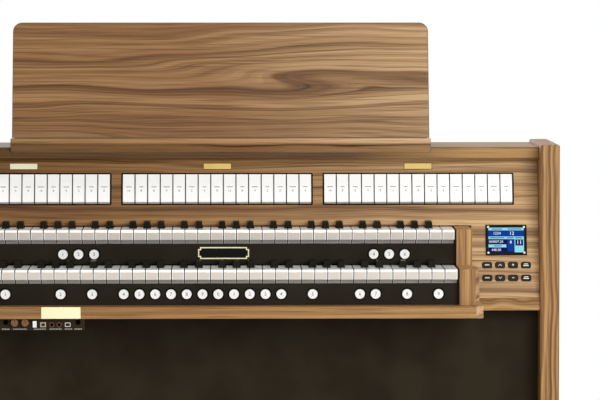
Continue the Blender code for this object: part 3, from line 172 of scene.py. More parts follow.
@dataclass(frozen=True)
class Finish:
    """A finish, named for its material and how its surface was made."""

    name: str

    def build(self) -> bpy.types.Material:
        """Builds the finish's material."""
        raise NotImplementedError


@dataclass(frozen=True)
class Veneer(Finish):
    """Plain-sliced walnut veneer under a satin lacquer.

    The knife cuts the growth rings at a shallow angle, so they show as long dark lines that
    wander, close up and open into flames, with short dark pores along the fibres. The colour is
    painted darker at the left and paler at the right: painted shade of the key lamp on the right.
    """

    grain: Grain = Grain.ACROSS
    offset: Place = (0.0, 0.0, 0.0)
    tones: tuple[str, str, str] = ("9A744B", "97714A", "C5A57C")
    tone_middle: float = 0.17
    tone_reach: float = 0.5
    tone_wander: float = 0.34
    ring_mm: float = 24.0
    line_mm: float = 3.6
    wander_mm: float = 60.0
    wobble_mm: float = 3.5
    slice_slope: float = 0.6
    flame_m: float = 0.55
    pore_mm: float = 2.4
    ring_shades: tuple[tuple[float, str], ...] = (
        (0.30, "927F6D"),
        (0.40, "BCAE9F"),
        (0.50, "E0D7CE"),
        (0.62, "FFFFFF"),
    )
    line_shade: str = "7A5E46"
    # Where each pattern starts, where it is full, and how strong it then is
    line_span: Span = (0.58, 0.68, 0.9)
    patch_span: Span = (0.42, 0.66, 1.0)
    pore_span: Span = (0.50, 0.72, 0.6)
    roughness: float = 0.42
    ior: float = 1.3

    def build(self) -> bpy.types.Material:
        """Builds the veneer from its tone, ring, line and pore patterns."""
        material, tree, shader = new_material(self.name)
        coords = add_node(tree, "TexCoord").outputs["Object"]
        turn = {"Vector": coords, "Rotation": self.grain.value, "Location": self.offset}
        turned = add_node(tree, "Mapping", inputs=turn).outputs["Vector"]
        noise = self.noises(tree, turned)
        across = self.across(tree, turned, noise)
        rings = self.stripes(tree, across, self.ring_mm, 5.0)
        ring_shade = add_node(tree, "ValToRGB", inputs={"Fac": rings}, stops=self.ring_shades)
        found = []
        for value, (low, high, top) in (
            (self.stripes(tree, across, self.line_mm, 3.0), self.line_span),
            (noise["patches"], self.patch_span),
            (noise["pores"], self.pore_span),
        ):
            inputs = {"Value": value, "From Min": low, "From Max": high, "To Min": 0.0, "To Max": top}
            found.append(add_node(tree, "MapRange", inputs=inputs).outputs[0])
        lines, patches, pores = found
        shown = add_node(tree, "Math", {"operation": "MULTIPLY"}, {0: lines, 1: patches}).outputs[0]
        # Painted shade: the colour darkens towards the left, away from the key lamp on the right
        colour = self.tone(tree, coords, noise["tone"])
        settings = {"data_type": "RGBA", "blend_type": "MULTIPLY"}
        brown = linear(self.line_shade)
        for factor, shade in ((1.0, ring_shade.outputs["Color"]), (shown, brown), (pores, brown)):
            colour = add_node(tree, "Mix", settings, {0: factor, 6: colour, 7: shade}).outputs[2]
        relief = {"Height": noise["pores"], "Strength": 0.12, "Distance": 0.0004}
        normal = add_node(tree, "Bump", inputs=relief).outputs["Normal"]
        looks = {"Base Color": colour, "Normal": normal, "Roughness": self.roughness, "IOR": self.ior}
        set_inputs(shader, looks)
        return material

    def noises(self, tree: Tree, turned: Socket) -> dict[str, Socket]:
        """Adds the stretched noises that the other patterns use.

        Args:
            tree: The material's node tree.
            turned: Coordinates with the fibres along X.

        Returns:
            The output of each noise by its name.
        """
        fine = 1000.0 / self.pore_mm
        stretch = {
            "meander": ((1.0 / self.flame_m, 9.0, 9.0), 2.0),
            "wobble": ((9.0, 60.0, 60.0), 2.0),
            "pores": ((7.0, fine, fine), 2.0),
            "patches": ((3.0, 26.0, 26.0), 1.5),
            "tone": ((0.9, 5.0, 5.0), 1.0),
        }
        found = {}
        for word, (scale, detail) in stretch.items():
            place = add_node(tree, "Mapping", inputs={"Vector": turned, "Scale": scale})
            inputs = {"Vector": place.outputs["Vector"], "Scale": 1.0, "Detail": detail}
            found[word] = add_node(tree, "TexNoise", inputs=inputs).outputs["Fac"]
        return found

    def across(self, tree: Tree, turned: Socket, noise: dict[str, Socket]) -> Socket:
        """Adds the distance across the fibres, bent by the wander of the rings.

        Args:
            tree: The material's node tree.
            turned: Coordinates with the fibres along X.
            noise: The stretched noises.

        Returns:
            The bent distance in metres.
        """
        axes = add_node(tree, "SeparateXYZ", inputs={"Vector": turned})
        found = axes.outputs["Z"]
        for value, reach in (
            (axes.outputs["Y"], self.slice_slope),
            (noise["meander"], self.wander_mm / 1000),
            (noise["wobble"], self.wobble_mm / 1000),
        ):
            terms = {0: value, 1: reach, 2: found}
            found = add_node(tree, "Math", {"operation": "MULTIPLY_ADD"}, terms).outputs[0]
        return found

    def tone(self, tree: Tree, coords: Socket, noise: Socket) -> Socket:
        """Adds the leaf's colour, painted darker at the left and paler at the right as painted shade.

        Args:
            tree: The material's node tree.
            coords: The object's own coordinates.
            noise: A slow noise that moves the change of tone.

        Returns:
            The colour.
        """
        axes = add_node(tree, "SeparateXYZ", inputs={"Vector": coords})
        terms = {0: noise, 1: self.tone_wander, 2: axes.outputs["X"]}
        moved = add_node(tree, "Math", {"operation": "MULTIPLY_ADD"}, terms).outputs[0]
        low, high = self.tone_middle - self.tone_reach, self.tone_middle + self.tone_reach
        inputs = {"Value": moved, "From Min": low, "From Max": high}
        place = add_node(tree, "MapRange", inputs=inputs).outputs[0]
        stops = tuple(zip((0.0, 0.5, 1.0), self.tones))
        return add_node(tree, "ValToRGB", inputs={"Fac": place}, stops=stops).outputs["Color"]

    def stripes(self, tree: Tree, across: Socket, width_mm: float, detail: float) -> Socket:
        """Adds uneven stripes along the fibres.

        Args:
            tree: The material's node tree.
            across: The distance across the fibres.
            width_mm: About how far apart the stripes are.
            detail: How many finer stripes they hold.

        Returns:
            The stripes, from 0 to 1.
        """
        terms = {0: across, 1: 1000.0 / width_mm}
        row = add_node(tree, "Math", {"operation": "MULTIPLY"}, terms).outputs[0]
        inputs = {"W": row, "Scale": 1.0, "Detail": detail, "Roughness": 0.58, "Lacunarity": 2.3}
        return add_node(tree, "TexNoise", {"noise_dimensions": "1D"}, inputs).outputs["Fac"]


@dataclass(frozen=True)
class Moulded(Finish):
    """Injection-moulded plastic or lacquer: one colour with a faint mottle and a fine skin."""

    colour: str
    shade: str
    roughness: float = 0.3
    grain_mm: float = 1.6
    bump: float = 0.05
    ior: float = 1.49

    def build(self) -> bpy.types.Material:
        """Builds the plastic with its faint mottle and skin."""
        material, tree, shader = new_material(self.name)
        coords = add_node(tree, "TexCoord").outputs["Object"]
        found = []
        for scale, detail in ((14.0, 2.0), (1000.0 / self.grain_mm, 1.0)):
            inputs = {"Vector": coords, "Scale": scale, "Detail": detail}
            found.append(add_node(tree, "TexNoise", inputs=inputs).outputs["Fac"])
        mottle, skin = found
        stops = ((0.35, self.shade), (0.62, self.colour))
        colour = add_node(tree, "ValToRGB", inputs={"Fac": mottle}, stops=stops).outputs["Color"]
        relief = {"Height": skin, "Strength": self.bump, "Distance": 0.0002}
        normal = add_node(tree, "Bump", inputs=relief).outputs["Normal"]
        looks = {"Base Color": colour, "Normal": normal, "Roughness": self.roughness, "IOR": self.ior}
        set_inputs(shader, looks)
        return material


@dataclass(frozen=True)
class MouldedRow(Moulded):
    """A row of moulded keys or tabs: grey fronts, a painted highlight on upward faces and along the
    edges beside each gap, and painted shade in the gaps and on the side faces.

    The gap is under a pixel wide, so its shade is drawn a little wider than life to show.
    """

    pitch: float = 0.0235
    first_gap: float = 0.0
    gap: float = 0.0019
    # The painted highlight: its width beside each gap, its colour and blur, and the slopes of upward
    # faces that get it. The painted shade: its colour and blur in each gap, and the slope past which
    # side faces get it
    shine: float = 0.0009
    gap_colour: str = "14110D"
    edge_colour: str = "FBF9F5"
    edge_blur: float = 0.15
    gap_blur: float = 0.1
    top_slopes: Point = (0.35, 0.6)
    side_slope: float = 0.6

    def build(self) -> bpy.types.Material:
        """Builds the plastic and paints highlight and shade on it by its distance from the nearest gap
        and by which way each face looks.
        """
        material = super().build()
        tree = material.node_tree
        shader = tree.nodes["Principled BSDF"]
        colour = shader.inputs["Base Color"].links[0].from_socket
        coords = add_node(tree, "TexCoord")
        away = add_node(tree, "SeparateXYZ", inputs={"Vector": coords.outputs["Object"]}).outputs["X"]
        for operation, *numbers in (
            ("MULTIPLY_ADD", 1.0 / self.pitch, 0.5 - self.first_gap / self.pitch),
            ("FRACT",),
            ("SUBTRACT", 0.5),
            ("ABSOLUTE",),
        ):
            terms = {0: away, **dict(enumerate(numbers, 1))}
            away = add_node(tree, "Math", {"operation": operation}, terms).outputs[0]
        facing = add_node(tree, "SeparateXYZ", inputs={"Vector": coords.outputs["Normal"]}).outputs
        low, high = self.top_slopes
        lit = {"Value": facing["Z"], "From Min": low, "From Max": high}
        top = add_node(tree, "MapRange", inputs=lit).outputs[0]
        side = add_node(tree, "Math", {"operation": "ABSOLUTE"}, {0: facing["X"]}).outputs[0]
        terms = {0: side, 1: self.side_slope}
        side = add_node(tree, "Math", {"operation": "GREATER_THAN"}, terms).outputs[0]
        near = self.gap / 2 / self.pitch
        far = near + self.shine / self.pitch
        # Painted highlight beside each gap and on upward faces, then painted shade in each gap and on
        # the side faces
        for reach, blur, always, code in (
            (far, self.edge_blur, top, self.edge_colour),
            (near, self.gap_blur, side, self.gap_colour),
        ):
            low, high = reach * (1.0 - blur), reach * (1.0 + blur)
            inputs = {"Value": away, "From Min": low, "From Max": high, "To Min": 1.0, "To Max": 0.0}
            factor = add_node(tree, "MapRange", inputs=inputs).outputs[0]
            factor = add_node(tree, "Math", {"operation": "MAXIMUM"}, {0: factor, 1: always}).outputs[0]
            inputs = {0: factor, 6: colour, 7: linear(code)}
            colour = add_node(tree, "Mix", {"data_type": "RGBA"}, inputs).outputs[2]
        set_inputs(shader, {"Base Color": colour})
        return material


@dataclass(frozen=True)
class RolledMetal(Finish):
    """Sheet or turned metal whose rolling lines spread the gloss one way."""

    colour: str
    shade: str
    roughness: float = 0.32
    line_mm: float = 0.8
    line_length_mm: float = 50.0
    gloss_spread: Point = (-0.06, 0.08)

    def build(self) -> bpy.types.Material:
        """Builds the metal with its rolling lines."""
        material, tree, shader = new_material(self.name)
        coords = add_node(tree, "TexCoord").outputs["Object"]
        along, fine = 1000.0 / self.line_length_mm, 1000.0 / self.line_mm
        place = add_node(tree, "Mapping", inputs={"Vector": coords, "Scale": (along, fine, fine)})
        inputs = {"Vector": place.outputs["Vector"], "Scale": 1.0, "Detail": 2.0}
        lines = add_node(tree, "TexNoise", inputs=inputs).outputs["Fac"]
        stops = ((0.35, self.shade), (0.65, self.colour))
        colour = add_node(tree, "ValToRGB", inputs={"Fac": lines}, stops=stops).outputs["Color"]
        low, high = (self.roughness + step for step in self.gloss_spread)
        inputs = {"Value": lines, "To Min": low, "To Max": high}
        gloss = add_node(tree, "MapRange", inputs=inputs).outputs[0]
        set_inputs(shader, {"Base Color": colour, "Roughness": gloss, "Metallic": 1.0})
        return material


@dataclass(frozen=True)
class WovenCloth(Finish):
    """Acoustic cloth: a plain weave of matt threads, drawn coarser than life so that it shows."""

    colour: str
    shade: str
    thread_mm: float = 2.4

    def build(self) -> bpy.types.Material:
        """Builds the cloth from two crossed sets of threads."""
        material, tree, shader = new_material(self.name)
        coords = add_node(tree, "TexCoord").outputs["Object"]
        # A wave repeats every 2 pi / 20 of a metre over its scale, and holds two threads
        scale = 1000.0 / self.thread_mm / 20 * math.pi
        inputs = {"Vector": coords, "Scale": scale, "Distortion": 0.4}
        found = []
        for way in ("X", "Z"):
            settings = {"wave_type": "BANDS", "bands_direction": way}
            found.append(add_node(tree, "TexWave", settings, inputs).outputs["Fac"])
        warp, weft = found
        weave = add_node(tree, "Math", {"operation": "MULTIPLY"}, {0: warp, 1: weft}).outputs[0]
        stops = ((0.1, self.shade), (0.8, self.colour))
        colour = add_node(tree, "ValToRGB", inputs={"Fac": weave}, stops=stops).outputs["Color"]
        relief = {"Height": weave, "Strength": 0.5, "Distance": 0.0006}
        normal = add_node(tree, "Bump", inputs=relief).outputs["Normal"]
        set_inputs(shader, {"Base Color": colour, "Normal": normal, "Roughness": 0.9})
        return material


@dataclass(frozen=True)
class BacklitInk(Finish):
    """A field of a liquid-crystal picture, lit from behind: its colour hardly takes the room's light."""

    colour: str
    glow: float = 0.75
    column_shares: Point = (0.88, 1.0)
    column_scale: float = 150.0
    unlit_share: float = 0.2

    def build(self) -> bpy.types.Material:
        """Builds the lit field with its fine column pattern."""
        material, tree, shader = new_material(self.name)
        coords = add_node(tree, "TexCoord").outputs["Object"]
        inputs = {"Vector": coords, "Scale": self.column_scale}
        columns = add_node(tree, "TexWave", {"bands_direction": "X"}, inputs)
        ramp = add_node(tree, "ValToRGB", inputs={"Fac": columns.outputs["Fac"]})
        red, green, blue, _ = linear(self.colour)
        for element, share in zip(ramp.color_ramp.elements, self.column_shares):
            element.color = (red * share, green * share, blue * share, 1.0)
        unlit = self.unlit_share
        looks = {
            "Emission Color": ramp.outputs["Color"],
            "Base Color": (red * unlit, green * unlit, blue * unlit, 1.0),
            "Emission Strength": self.glow,
            "Roughness": 0.25,
            "IOR": 1.05,
        }
        set_inputs(shader, looks)
        return material


# Each leaf's colour runs from darker at the left to paler at the right: painted shade of the key lamp on
# the right, over the wood's own colour
# Desk board, stop panel and keyslip are each one leaf of veneer, so their figures differ
DESK_VENEER = Veneer("walnut_veneer_desk", offset=(0.37, 0.0, 1.05), wander_mm=120.0, flame_m=0.7)
LEDGE_VENEER = Veneer("walnut_veneer_ledge", offset=(1.9, 0.0, 0.2), wander_mm=30.0)
# Solid walnut, planed: the same wood with a straighter figure
LIP_VENEER = Veneer(
    "planed_walnut_lipping", offset=(2.6, 0.0, 0.9), tones=("96744B", "A87D50", "D7B68C"), wander_mm=20.0
)
# The top board is painted dark up to the music ledge's right end: painted shadow of the ledge's lipping
# on its front edge
TOP_VENEER = Veneer(
    "walnut_veneer_top_painted_shadow",
    offset=(3.1, 0.0, 2.0),
    tones=("5E401A", "5E401C", "B28A52"),
    tone_middle=0.45,
    tone_reach=0.22,
    wander_mm=40.0,
)
PANEL_VENEER = Veneer(
    "walnut_veneer_stop_panel", offset=(5.3, 0.0, 0.7), tones=("886033", "A27A4A", "D2AE7E")
)
# Upright leaves are narrower between the rings, which gives the eye strong vertical streaks
SIDE_VENEER = Veneer(
    "walnut_veneer_side",
    Grain.UPRIGHT,
    (7.7, 0.0, 0.0),
    tones=("AE844F", "AE844F", "B28854"),
    wander_mm=46.0,
    flame_m=0.28,
    ring_mm=11.0,
    line_mm=6.0,
)
BLOCK_VENEER = Veneer(
    "walnut_veneer_block",
    Grain.UPRIGHT,
    (2.2, 0.0, 0.4),
    tones=("9A744B", "97714A", "C59A62"),
    wander_mm=14.0,
    ring_mm=12.0,
)
SLIP_VENEER = Veneer(
    "walnut_veneer_keyslip", offset=(9.4, 0.0, 0.1), tones=("9A744B", "A07646", "B58C56"), wander_mm=24.0
)
# The key bed's edge is cut from a leaf with a wide, curling figure
BED_VENEER = Veneer(
    "walnut_veneer_key_bed",
    offset=(6.6, 0.0, 0.1),
    tones=("9A744B", "A07646", "BE965E"),
    wander_mm=46.0,
    flame_m=0.1,
    ring_mm=15.0,
)
# The arms end in sawn faces without the knife's open figure, so they read pale and even
ARM_VENEER = Veneer(
    "walnut_veneer_arm", Grain.DEEP, (0.9, 0.0, 5.1), tones=("A8845A", "B08C60", "CBA578"), wander_mm=8.0
)
# A thin dark line round the desk board's front face, along its edge
EDGE_BAND = Moulded("dark_edge_line", "5A4028", "4E3722", roughness=0.5)
# Planed and lacquered oak: pale and even, so the pedals read lighter than the case
OAK = Veneer("lacquered_oak", Grain.DEEP, (4.4, 0.0, 1.0), ("D0A874", "D6AE7A", "DCB582"), ring_mm=6.0)
# Stained and sprayed satin boards: nearly black with a warm cast and a soft, broad gloss
DARK_RAIL = Moulded(
    "stained_satin_rail", "28231A", "221D14", roughness=0.55, bump=0.1, grain_mm=2.4, ior=1.15
)
KNEE_LACQUER = Moulded(
    "stained_satin_knee_panel", "2E281B", "261F14", roughness=0.6, bump=0.1, grain_mm=3.0, ior=1.15
)
# Moulded black ABS: the sharps keep a faint brown cast, the housings are neutral and duller
EBONY = Moulded("moulded_abs_sharp", "1C1810", "15120C", roughness=0.4, ior=1.12)
BLACK_ABS = Moulded("moulded_black_abs", "0E0D0A", "0A0908", roughness=0.45, ior=1.15)
# Polished white ABS: clean highlights on tabs, switch and pistons
TAB_WHITE = Moulded("polished_abs_switch", "F8F7F4", "F4F3EF", roughness=0.25)
PISTON_WHITE = Moulded("moulded_abs_piston", "FCFBF8", "F8F7F3", roughness=0.35)
# The underside of each tab's foot, which the lamps don't reach, so it reads as a grey lip
LIP_GREY = Moulded("shaded_abs_lip", "8E8577", "857C6E", roughness=0.5)
# Painted shade: near-black matt sheets round the slots and pistons and in the outlets stand for the
# shade of the gaps and holes, so the edges look deep
GAP_SHADE_BLACK = Moulded("painted_gap_shade_black", "050504", "030302", roughness=0.8, bump=0.0, ior=1.05)
# Cast silicone rubber: dull charcoal buttons without a highlight
BUTTON_RUBBER = Moulded("cast_silicone_button", "2B2A22", "24231C", roughness=0.6, bump=0.12, ior=1.2)
# Moulded rubber on the treads: matt, with a coarse skin
RUBBER = Moulded("moulded_tread_rubber", "1F1E1C", "191817", roughness=0.75, bump=0.2)
# Lacquered card and brass: flat, bright fields
CREAM = Moulded("cream_lacquered_plate", "FBF3C6", "F6EEBE", roughness=0.35)
BRASS = Moulded("lacquered_brass_plate", "E8C46C", "DDB75E", roughness=0.35)
PALE_BRASS = Moulded("pale_lacquered_brass_plate", "FAF4CC", "F4ECBE", roughness=0.35)
# Screen-printed inks: flat and matt
PRINT_GREY = Moulded("screen_printed_grey", "5E5C57", "575550", roughness=0.6)
PALE_PRINT = Moulded("screen_printed_pale_grey", "A29E95", "98948B", roughness=0.6)
WHITE_PRINT = Moulded("screen_printed_white", "E8E8E2", "DFDFD8", roughness=0.6)
# Pressed paper pulp: soft black cones with a fibrous skin
PAPER_CONE = Moulded("pressed_paper_cone", "2A2927", "232220", roughness=0.85, bump=0.3)
# Cured solder mask over copper: dark, even and slightly glossy
SOLDER_MASK = Moulded("cured_black_solder_mask", "11140F", "0D100C", roughness=0.5)
GREEN_MASK = Moulded("cured_green_solder_mask", "1F4A2C", "1A3F26", roughness=0.45)
# Painted hardboard: matt and slightly rough, the plainest face of the case
BOARD_BLACK = Moulded("painted_hardboard", "201F1C", "1A1917", roughness=0.75, bump=0.25, grain_mm=2.0)
# Pressed wool felt: matt red without any gloss
FELT = Moulded("pressed_wool_felt", "7A2A26", "65211E", roughness=0.95, grain_mm=1.2, bump=0.4)
# Moulded nylon: a warm beige socket body
BEIGE = Moulded("moulded_beige_nylon", "B9A78C", "AD9B80", roughness=0.5)
# Float glass over a dark cell: a smooth, sharp gloss
GLASS_BLACK = Moulded("float_glass_screen", "0B0F1C", "090C17", roughness=0.08, bump=0.0, ior=1.2)
# Turned and anodised aluminium: brown-gold with a soft, turned gloss
GOLD_BROWN = RolledMetal("anodised_turned_knob", "7E5D41", "624630", roughness=0.42)
# Zinc-plated steel, nickel plate and cast aluminium: greys that differ in how sharp their gloss is
STEEL = RolledMetal("zinc_plated_sheet", "A6A8AA", "8F9294", roughness=0.36)
NICKEL = RolledMetal("nickel_plated_screw", "E9E6DE", "D6D2C8", roughness=0.2)
ALUMINIUM = RolledMetal("cast_aluminium", "B4B7BA", "A2A5A8", roughness=0.42)
# Woven acoustic cloth: dark and matt, with a weave that shows close up
GRILLE_CLOTH = WovenCloth("woven_acoustic_cloth", "2B281F", "191711")


class Finishes:
    """Builds each finish once and hands out its material."""

    def __init__(self) -> None:
        """Starts with no material built."""
        self._built: dict[str, bpy.types.Material] = {}

    def get(self, finish: Finish) -> bpy.types.Material:
        """Returns the finish's material, built on its first use."""
        if finish.name not in self._built:
            self._built[finish.name] = finish.build()
        return self._built[finish.name]


FINISHES = Finishes()


def dress(finish: Finish, *nodes: str) -> None:
    """Gives CAD nodes a finish.

    Args:
        finish: The finish.
        nodes: The names of the nodes.
    """
    for name in nodes:
        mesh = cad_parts[name].data
        for index in range(max(1, len(mesh.materials))):
            if len(mesh.materials) <= index:
                mesh.materials.append(None)
            mesh.materials[index] = FINISHES.get(finish)
        LOG.info("dressed %s in %s", name, finish.name)


def local_left(name: str) -> float:
    """Returns the least X of a CAD node in its own coordinates."""
    return min(vert.co.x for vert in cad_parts[name].data.vertices)


# Meshes


def bevelled(bm: Mesh, size: float) -> None:
    """Rounds the sharp edges of a mesh.

    Args:
        bm: The mesh.
        size: How far the rounding reaches.
    """
    bmesh.ops.recalc_face_normals(bm, faces=bm.faces)
    sharp = [e for e in bm.edges if len(e.link_faces) == 2 and e.calc_face_angle(0.0) > SHARP_ANGLE]
    bmesh.ops.bevel(bm, geom=sharp, offset=size, segments=2, profile=0.5, affect="EDGES")


def add_prism(bm: Mesh, outline: Outline, front: float, back: float, bevel: float = 0.0) -> None:
    """Adds a prism with its outline in X and Z.

    Args:
        bm: The mesh it goes in.
        outline: The corners, in order.
        front: Y of the front face.
        back: Y of the back face.
        bevel: The rounding of its edges.
    """
    part = bmesh.new()
    face = part.faces.new([part.verts.new((x, back, z)) for x, z in outline])
    grown = bmesh.ops.extrude_face_region(part, geom=[face])
    verts = [v for v in grown["geom"] if isinstance(v, bmesh.types.BMVert)]
    bmesh.ops.translate(part, verts=verts, vec=(0.0, front - back, 0.0))
    if bevel:
        bevelled(part, bevel)
    bmesh.ops.recalc_face_normals(part, faces=part.faces)
    mesh = bpy.data.meshes.new("prism")
    part.to_mesh(mesh)
    part.free()
    bm.from_mesh(mesh)
    bpy.data.meshes.remove(mesh)


def prisms(outlines: Iterable[Outline], front: float, back: float, bevel: float = 0.0) -> Mesh:
    """Makes a mesh with one prism for each outline.

    Args:
        outlines: The corners of each, in X and Z.
        front: Y of the front faces.
        back: Y of the back faces.
        bevel: The rounding of their edges.

    Returns:
        The new mesh.
    """
    bm = bmesh.new()
    for outline in outlines:
        add_prism(bm, outline, front, back, bevel)
    return bm


def add_frame(bm: Mesh, outer: Outline, inner: Outline, front: float, back: float) -> None:
    """Adds a flat border between two outlines with the same number of corners.

    Args:
        bm: The mesh it goes in.
        outer: The outer corners.
        inner: The inner corners, in the same order.
        front: Y of the front face.
        back: Y of the back face.
    """
    rims = [
        [bm.verts.new((x, y, z)) for x, z in outline]
        for outline, y in ((inner, back), (inner, front), (outer, front), (outer, back))
    ]
    count = len(outer)
    for first, second in zip(rims, rims[1:] + rims[:1]):
        for i in range(count):
            j = (i + 1) % count
            bm.faces.new((first[i], second[i], second[j], first[j]))


def block(centre: Point, size: Point) -> list[Point]:
    """Returns the corners of a rectangle by its centre and size."""
    (x, z), (w, h) = centre, (size[0] / 2, size[1] / 2)
    return [(x - w, z - h), (x + w, z - h), (x + w, z + h), (x - w, z + h)]


def rounded(centre: Point, size: Point, radius: float) -> list[Point]:
    """Returns the corners of a rectangle with rounded corners."""
    (x, z), (w, h) = centre, (size[0] / 2 - radius, size[1] / 2 - radius)
    points = []
    for turn, (u, v) in enumerate(((w, h), (-w, h), (-w, -h), (w, -h))):
        for i in range(5):
            angle = math.pi / 2 * (turn + i / 4)
            points.append((x + u + radius * math.cos(angle), z + v + radius * math.sin(angle)))
    return points


def disc(centre: Point, radius: float, sides: int) -> list[Point]:
    """Returns the corners of a round outline."""
    angles = [2 * math.pi * i / sides for i in range(sides)]
    return [(centre[0] + radius * math.cos(a), centre[1] + radius * math.sin(a)) for a in angles]


def stepped(centre: Point, size: Point, notch: float) -> list[Point]:
    """Returns a plate outline with a square step out of each corner."""
    (x, z), (w, h) = centre, (size[0] / 2, size[1] / 2)
    quarter = [(w, h - notch), (w - notch, h - notch), (w - notch, h)]
    upper = quarter + [(-u, v) for u, v in reversed(quarter)]
    return [(x + u, z + v) for u, v in upper + [(-u, -v) for u, v in upper]]


def middle_of(name: str) -> Point:
    """Returns X and Z of the middle of a CAD node at rest."""
    low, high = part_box(name)
    return (low[0] + high[0]) / 2, (low[2] + high[2]) / 2


def add_number(bm: Mesh, text: str, centre: Point, height: float, front: float) -> None:
    """Adds a plain printed number that faces the player.

    Args:
        bm: The mesh it goes in.
        text: The digits.
        centre: X and Z of their middle.
        height: Their height, which is 0.7 of the type's own size.
        front: Y of the print.
    """
    curve = bpy.data.curves.new("number", "FONT")
    curve.body = text
    curve.size = height / 0.7
    curve.align_x = "CENTER"
    curve.align_y = "CENTER"
    curve.resolution_u = 2
    holder = bpy.data.objects.new("number", curve)
    bpy.context.scene.collection.objects.link(holder)
    graph = bpy.context.evaluated_depsgraph_get()
    mesh = bpy.data.meshes.new_from_object(holder.evaluated_get(graph))
    bpy.data.objects.remove(holder)
    upright = Matrix.Rotation(math.pi / 2, 4, "X")
    mesh.transform(Matrix.Translation((centre[0], front, centre[1])) @ upright)
    bm.from_mesh(mesh)
    bpy.data.meshes.remove(mesh)


def place_piece(
    name: str,
    bm: Mesh,
    finish: Finish,
    body: str,
    where: Matrix | None = None,
    smooth: bool = False,
) -> None:
    """Turns a mesh into a piece of the organ that rides on a body.

    Args:
        name: The piece's name.
        bm: Its mesh, which is used up.
        finish: Its finish.
        body: The CAD body that it moves with.
        where: Its place, if it isn't built in place.
        smooth: Whether its faces are shaded smooth.
    """
    mesh = bpy.data.meshes.new(name)
    bmesh.ops.recalc_face_normals(bm, faces=bm.faces)
    bm.to_mesh(mesh)
    bm.free()
    mesh.materials.append(FINISHES.get(finish))
    if smooth:
        mesh.shade_smooth()
        mesh.set_sharp_from_angle(angle=SHARP_ANGLE)
    obj = bpy.data.objects.new(name, mesh)
    bpy.context.scene.collection.objects.link(obj)
    obj.matrix_world = where or Matrix.Identity(4)
    bpy.context.view_layer.update()
    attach(obj, body)
    LOG.info("made %s on %s", name, body)


# Sub-assemblies


@dataclass
class Cabinet:
    """The case boards, the key bed with its arms, and the screwed back."""

    screw_pitch: float = 0.18
    screw_radius: float = 0.004
    screw_head: float = 0.0012
    screw_inset: float = 0.015

    def build(self) -> None:
        """Dresses the boards and adds the back's screws."""
        for finish, *nodes in (
            (SIDE_VENEER, "left_side_panel", "right_side_panel"),
            (TOP_VENEER, "top_board"),
            (SLIP_VENEER, "keyslip"),
            (BED_VENEER, "key_bed"),
            (ARM_VENEER, "left_desk_arm", "right_desk_arm"),
            (BLOCK_VENEER, "left_key_block", "right_key_block"),
            (KNEE_LACQUER, "knee_panel", "case_floor", "rear_stretcher"),
            (BOARD_BLACK, "back_panel"),
        ):
            dress(finish, *nodes)
        self.build_back_screws()

    def build_back_screws(self) -> None:
        """Adds the dome-headed screws round the edge of the back panel."""
        low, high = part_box("back_panel")
        inset = self.screw_inset
        wide, tall = (int((high[axis] - low[axis]) / self.screw_pitch) for axis in (0, 2))
        places = []
        for i in range(wide + 1):
            x = low[0] + inset + i * (high[0] - low[0] - 2 * inset) / wide
            places += [(x, low[2] + inset), (x, high[2] - inset)]
        for i in range(1, tall):
            z = low[2] + inset + i * (high[2] - low[2] - 2 * inset) / tall
            places += [(low[0] + inset, z), (high[0] - inset, z)]
        heads = [disc(place, self.screw_radius, 12) for place in places]
        bm = prisms(heads, high[1] + self.screw_head, high[1], SCREW_EDGE)
        place_piece("back_panel_screws", bm, NICKEL, "case", smooth=True)


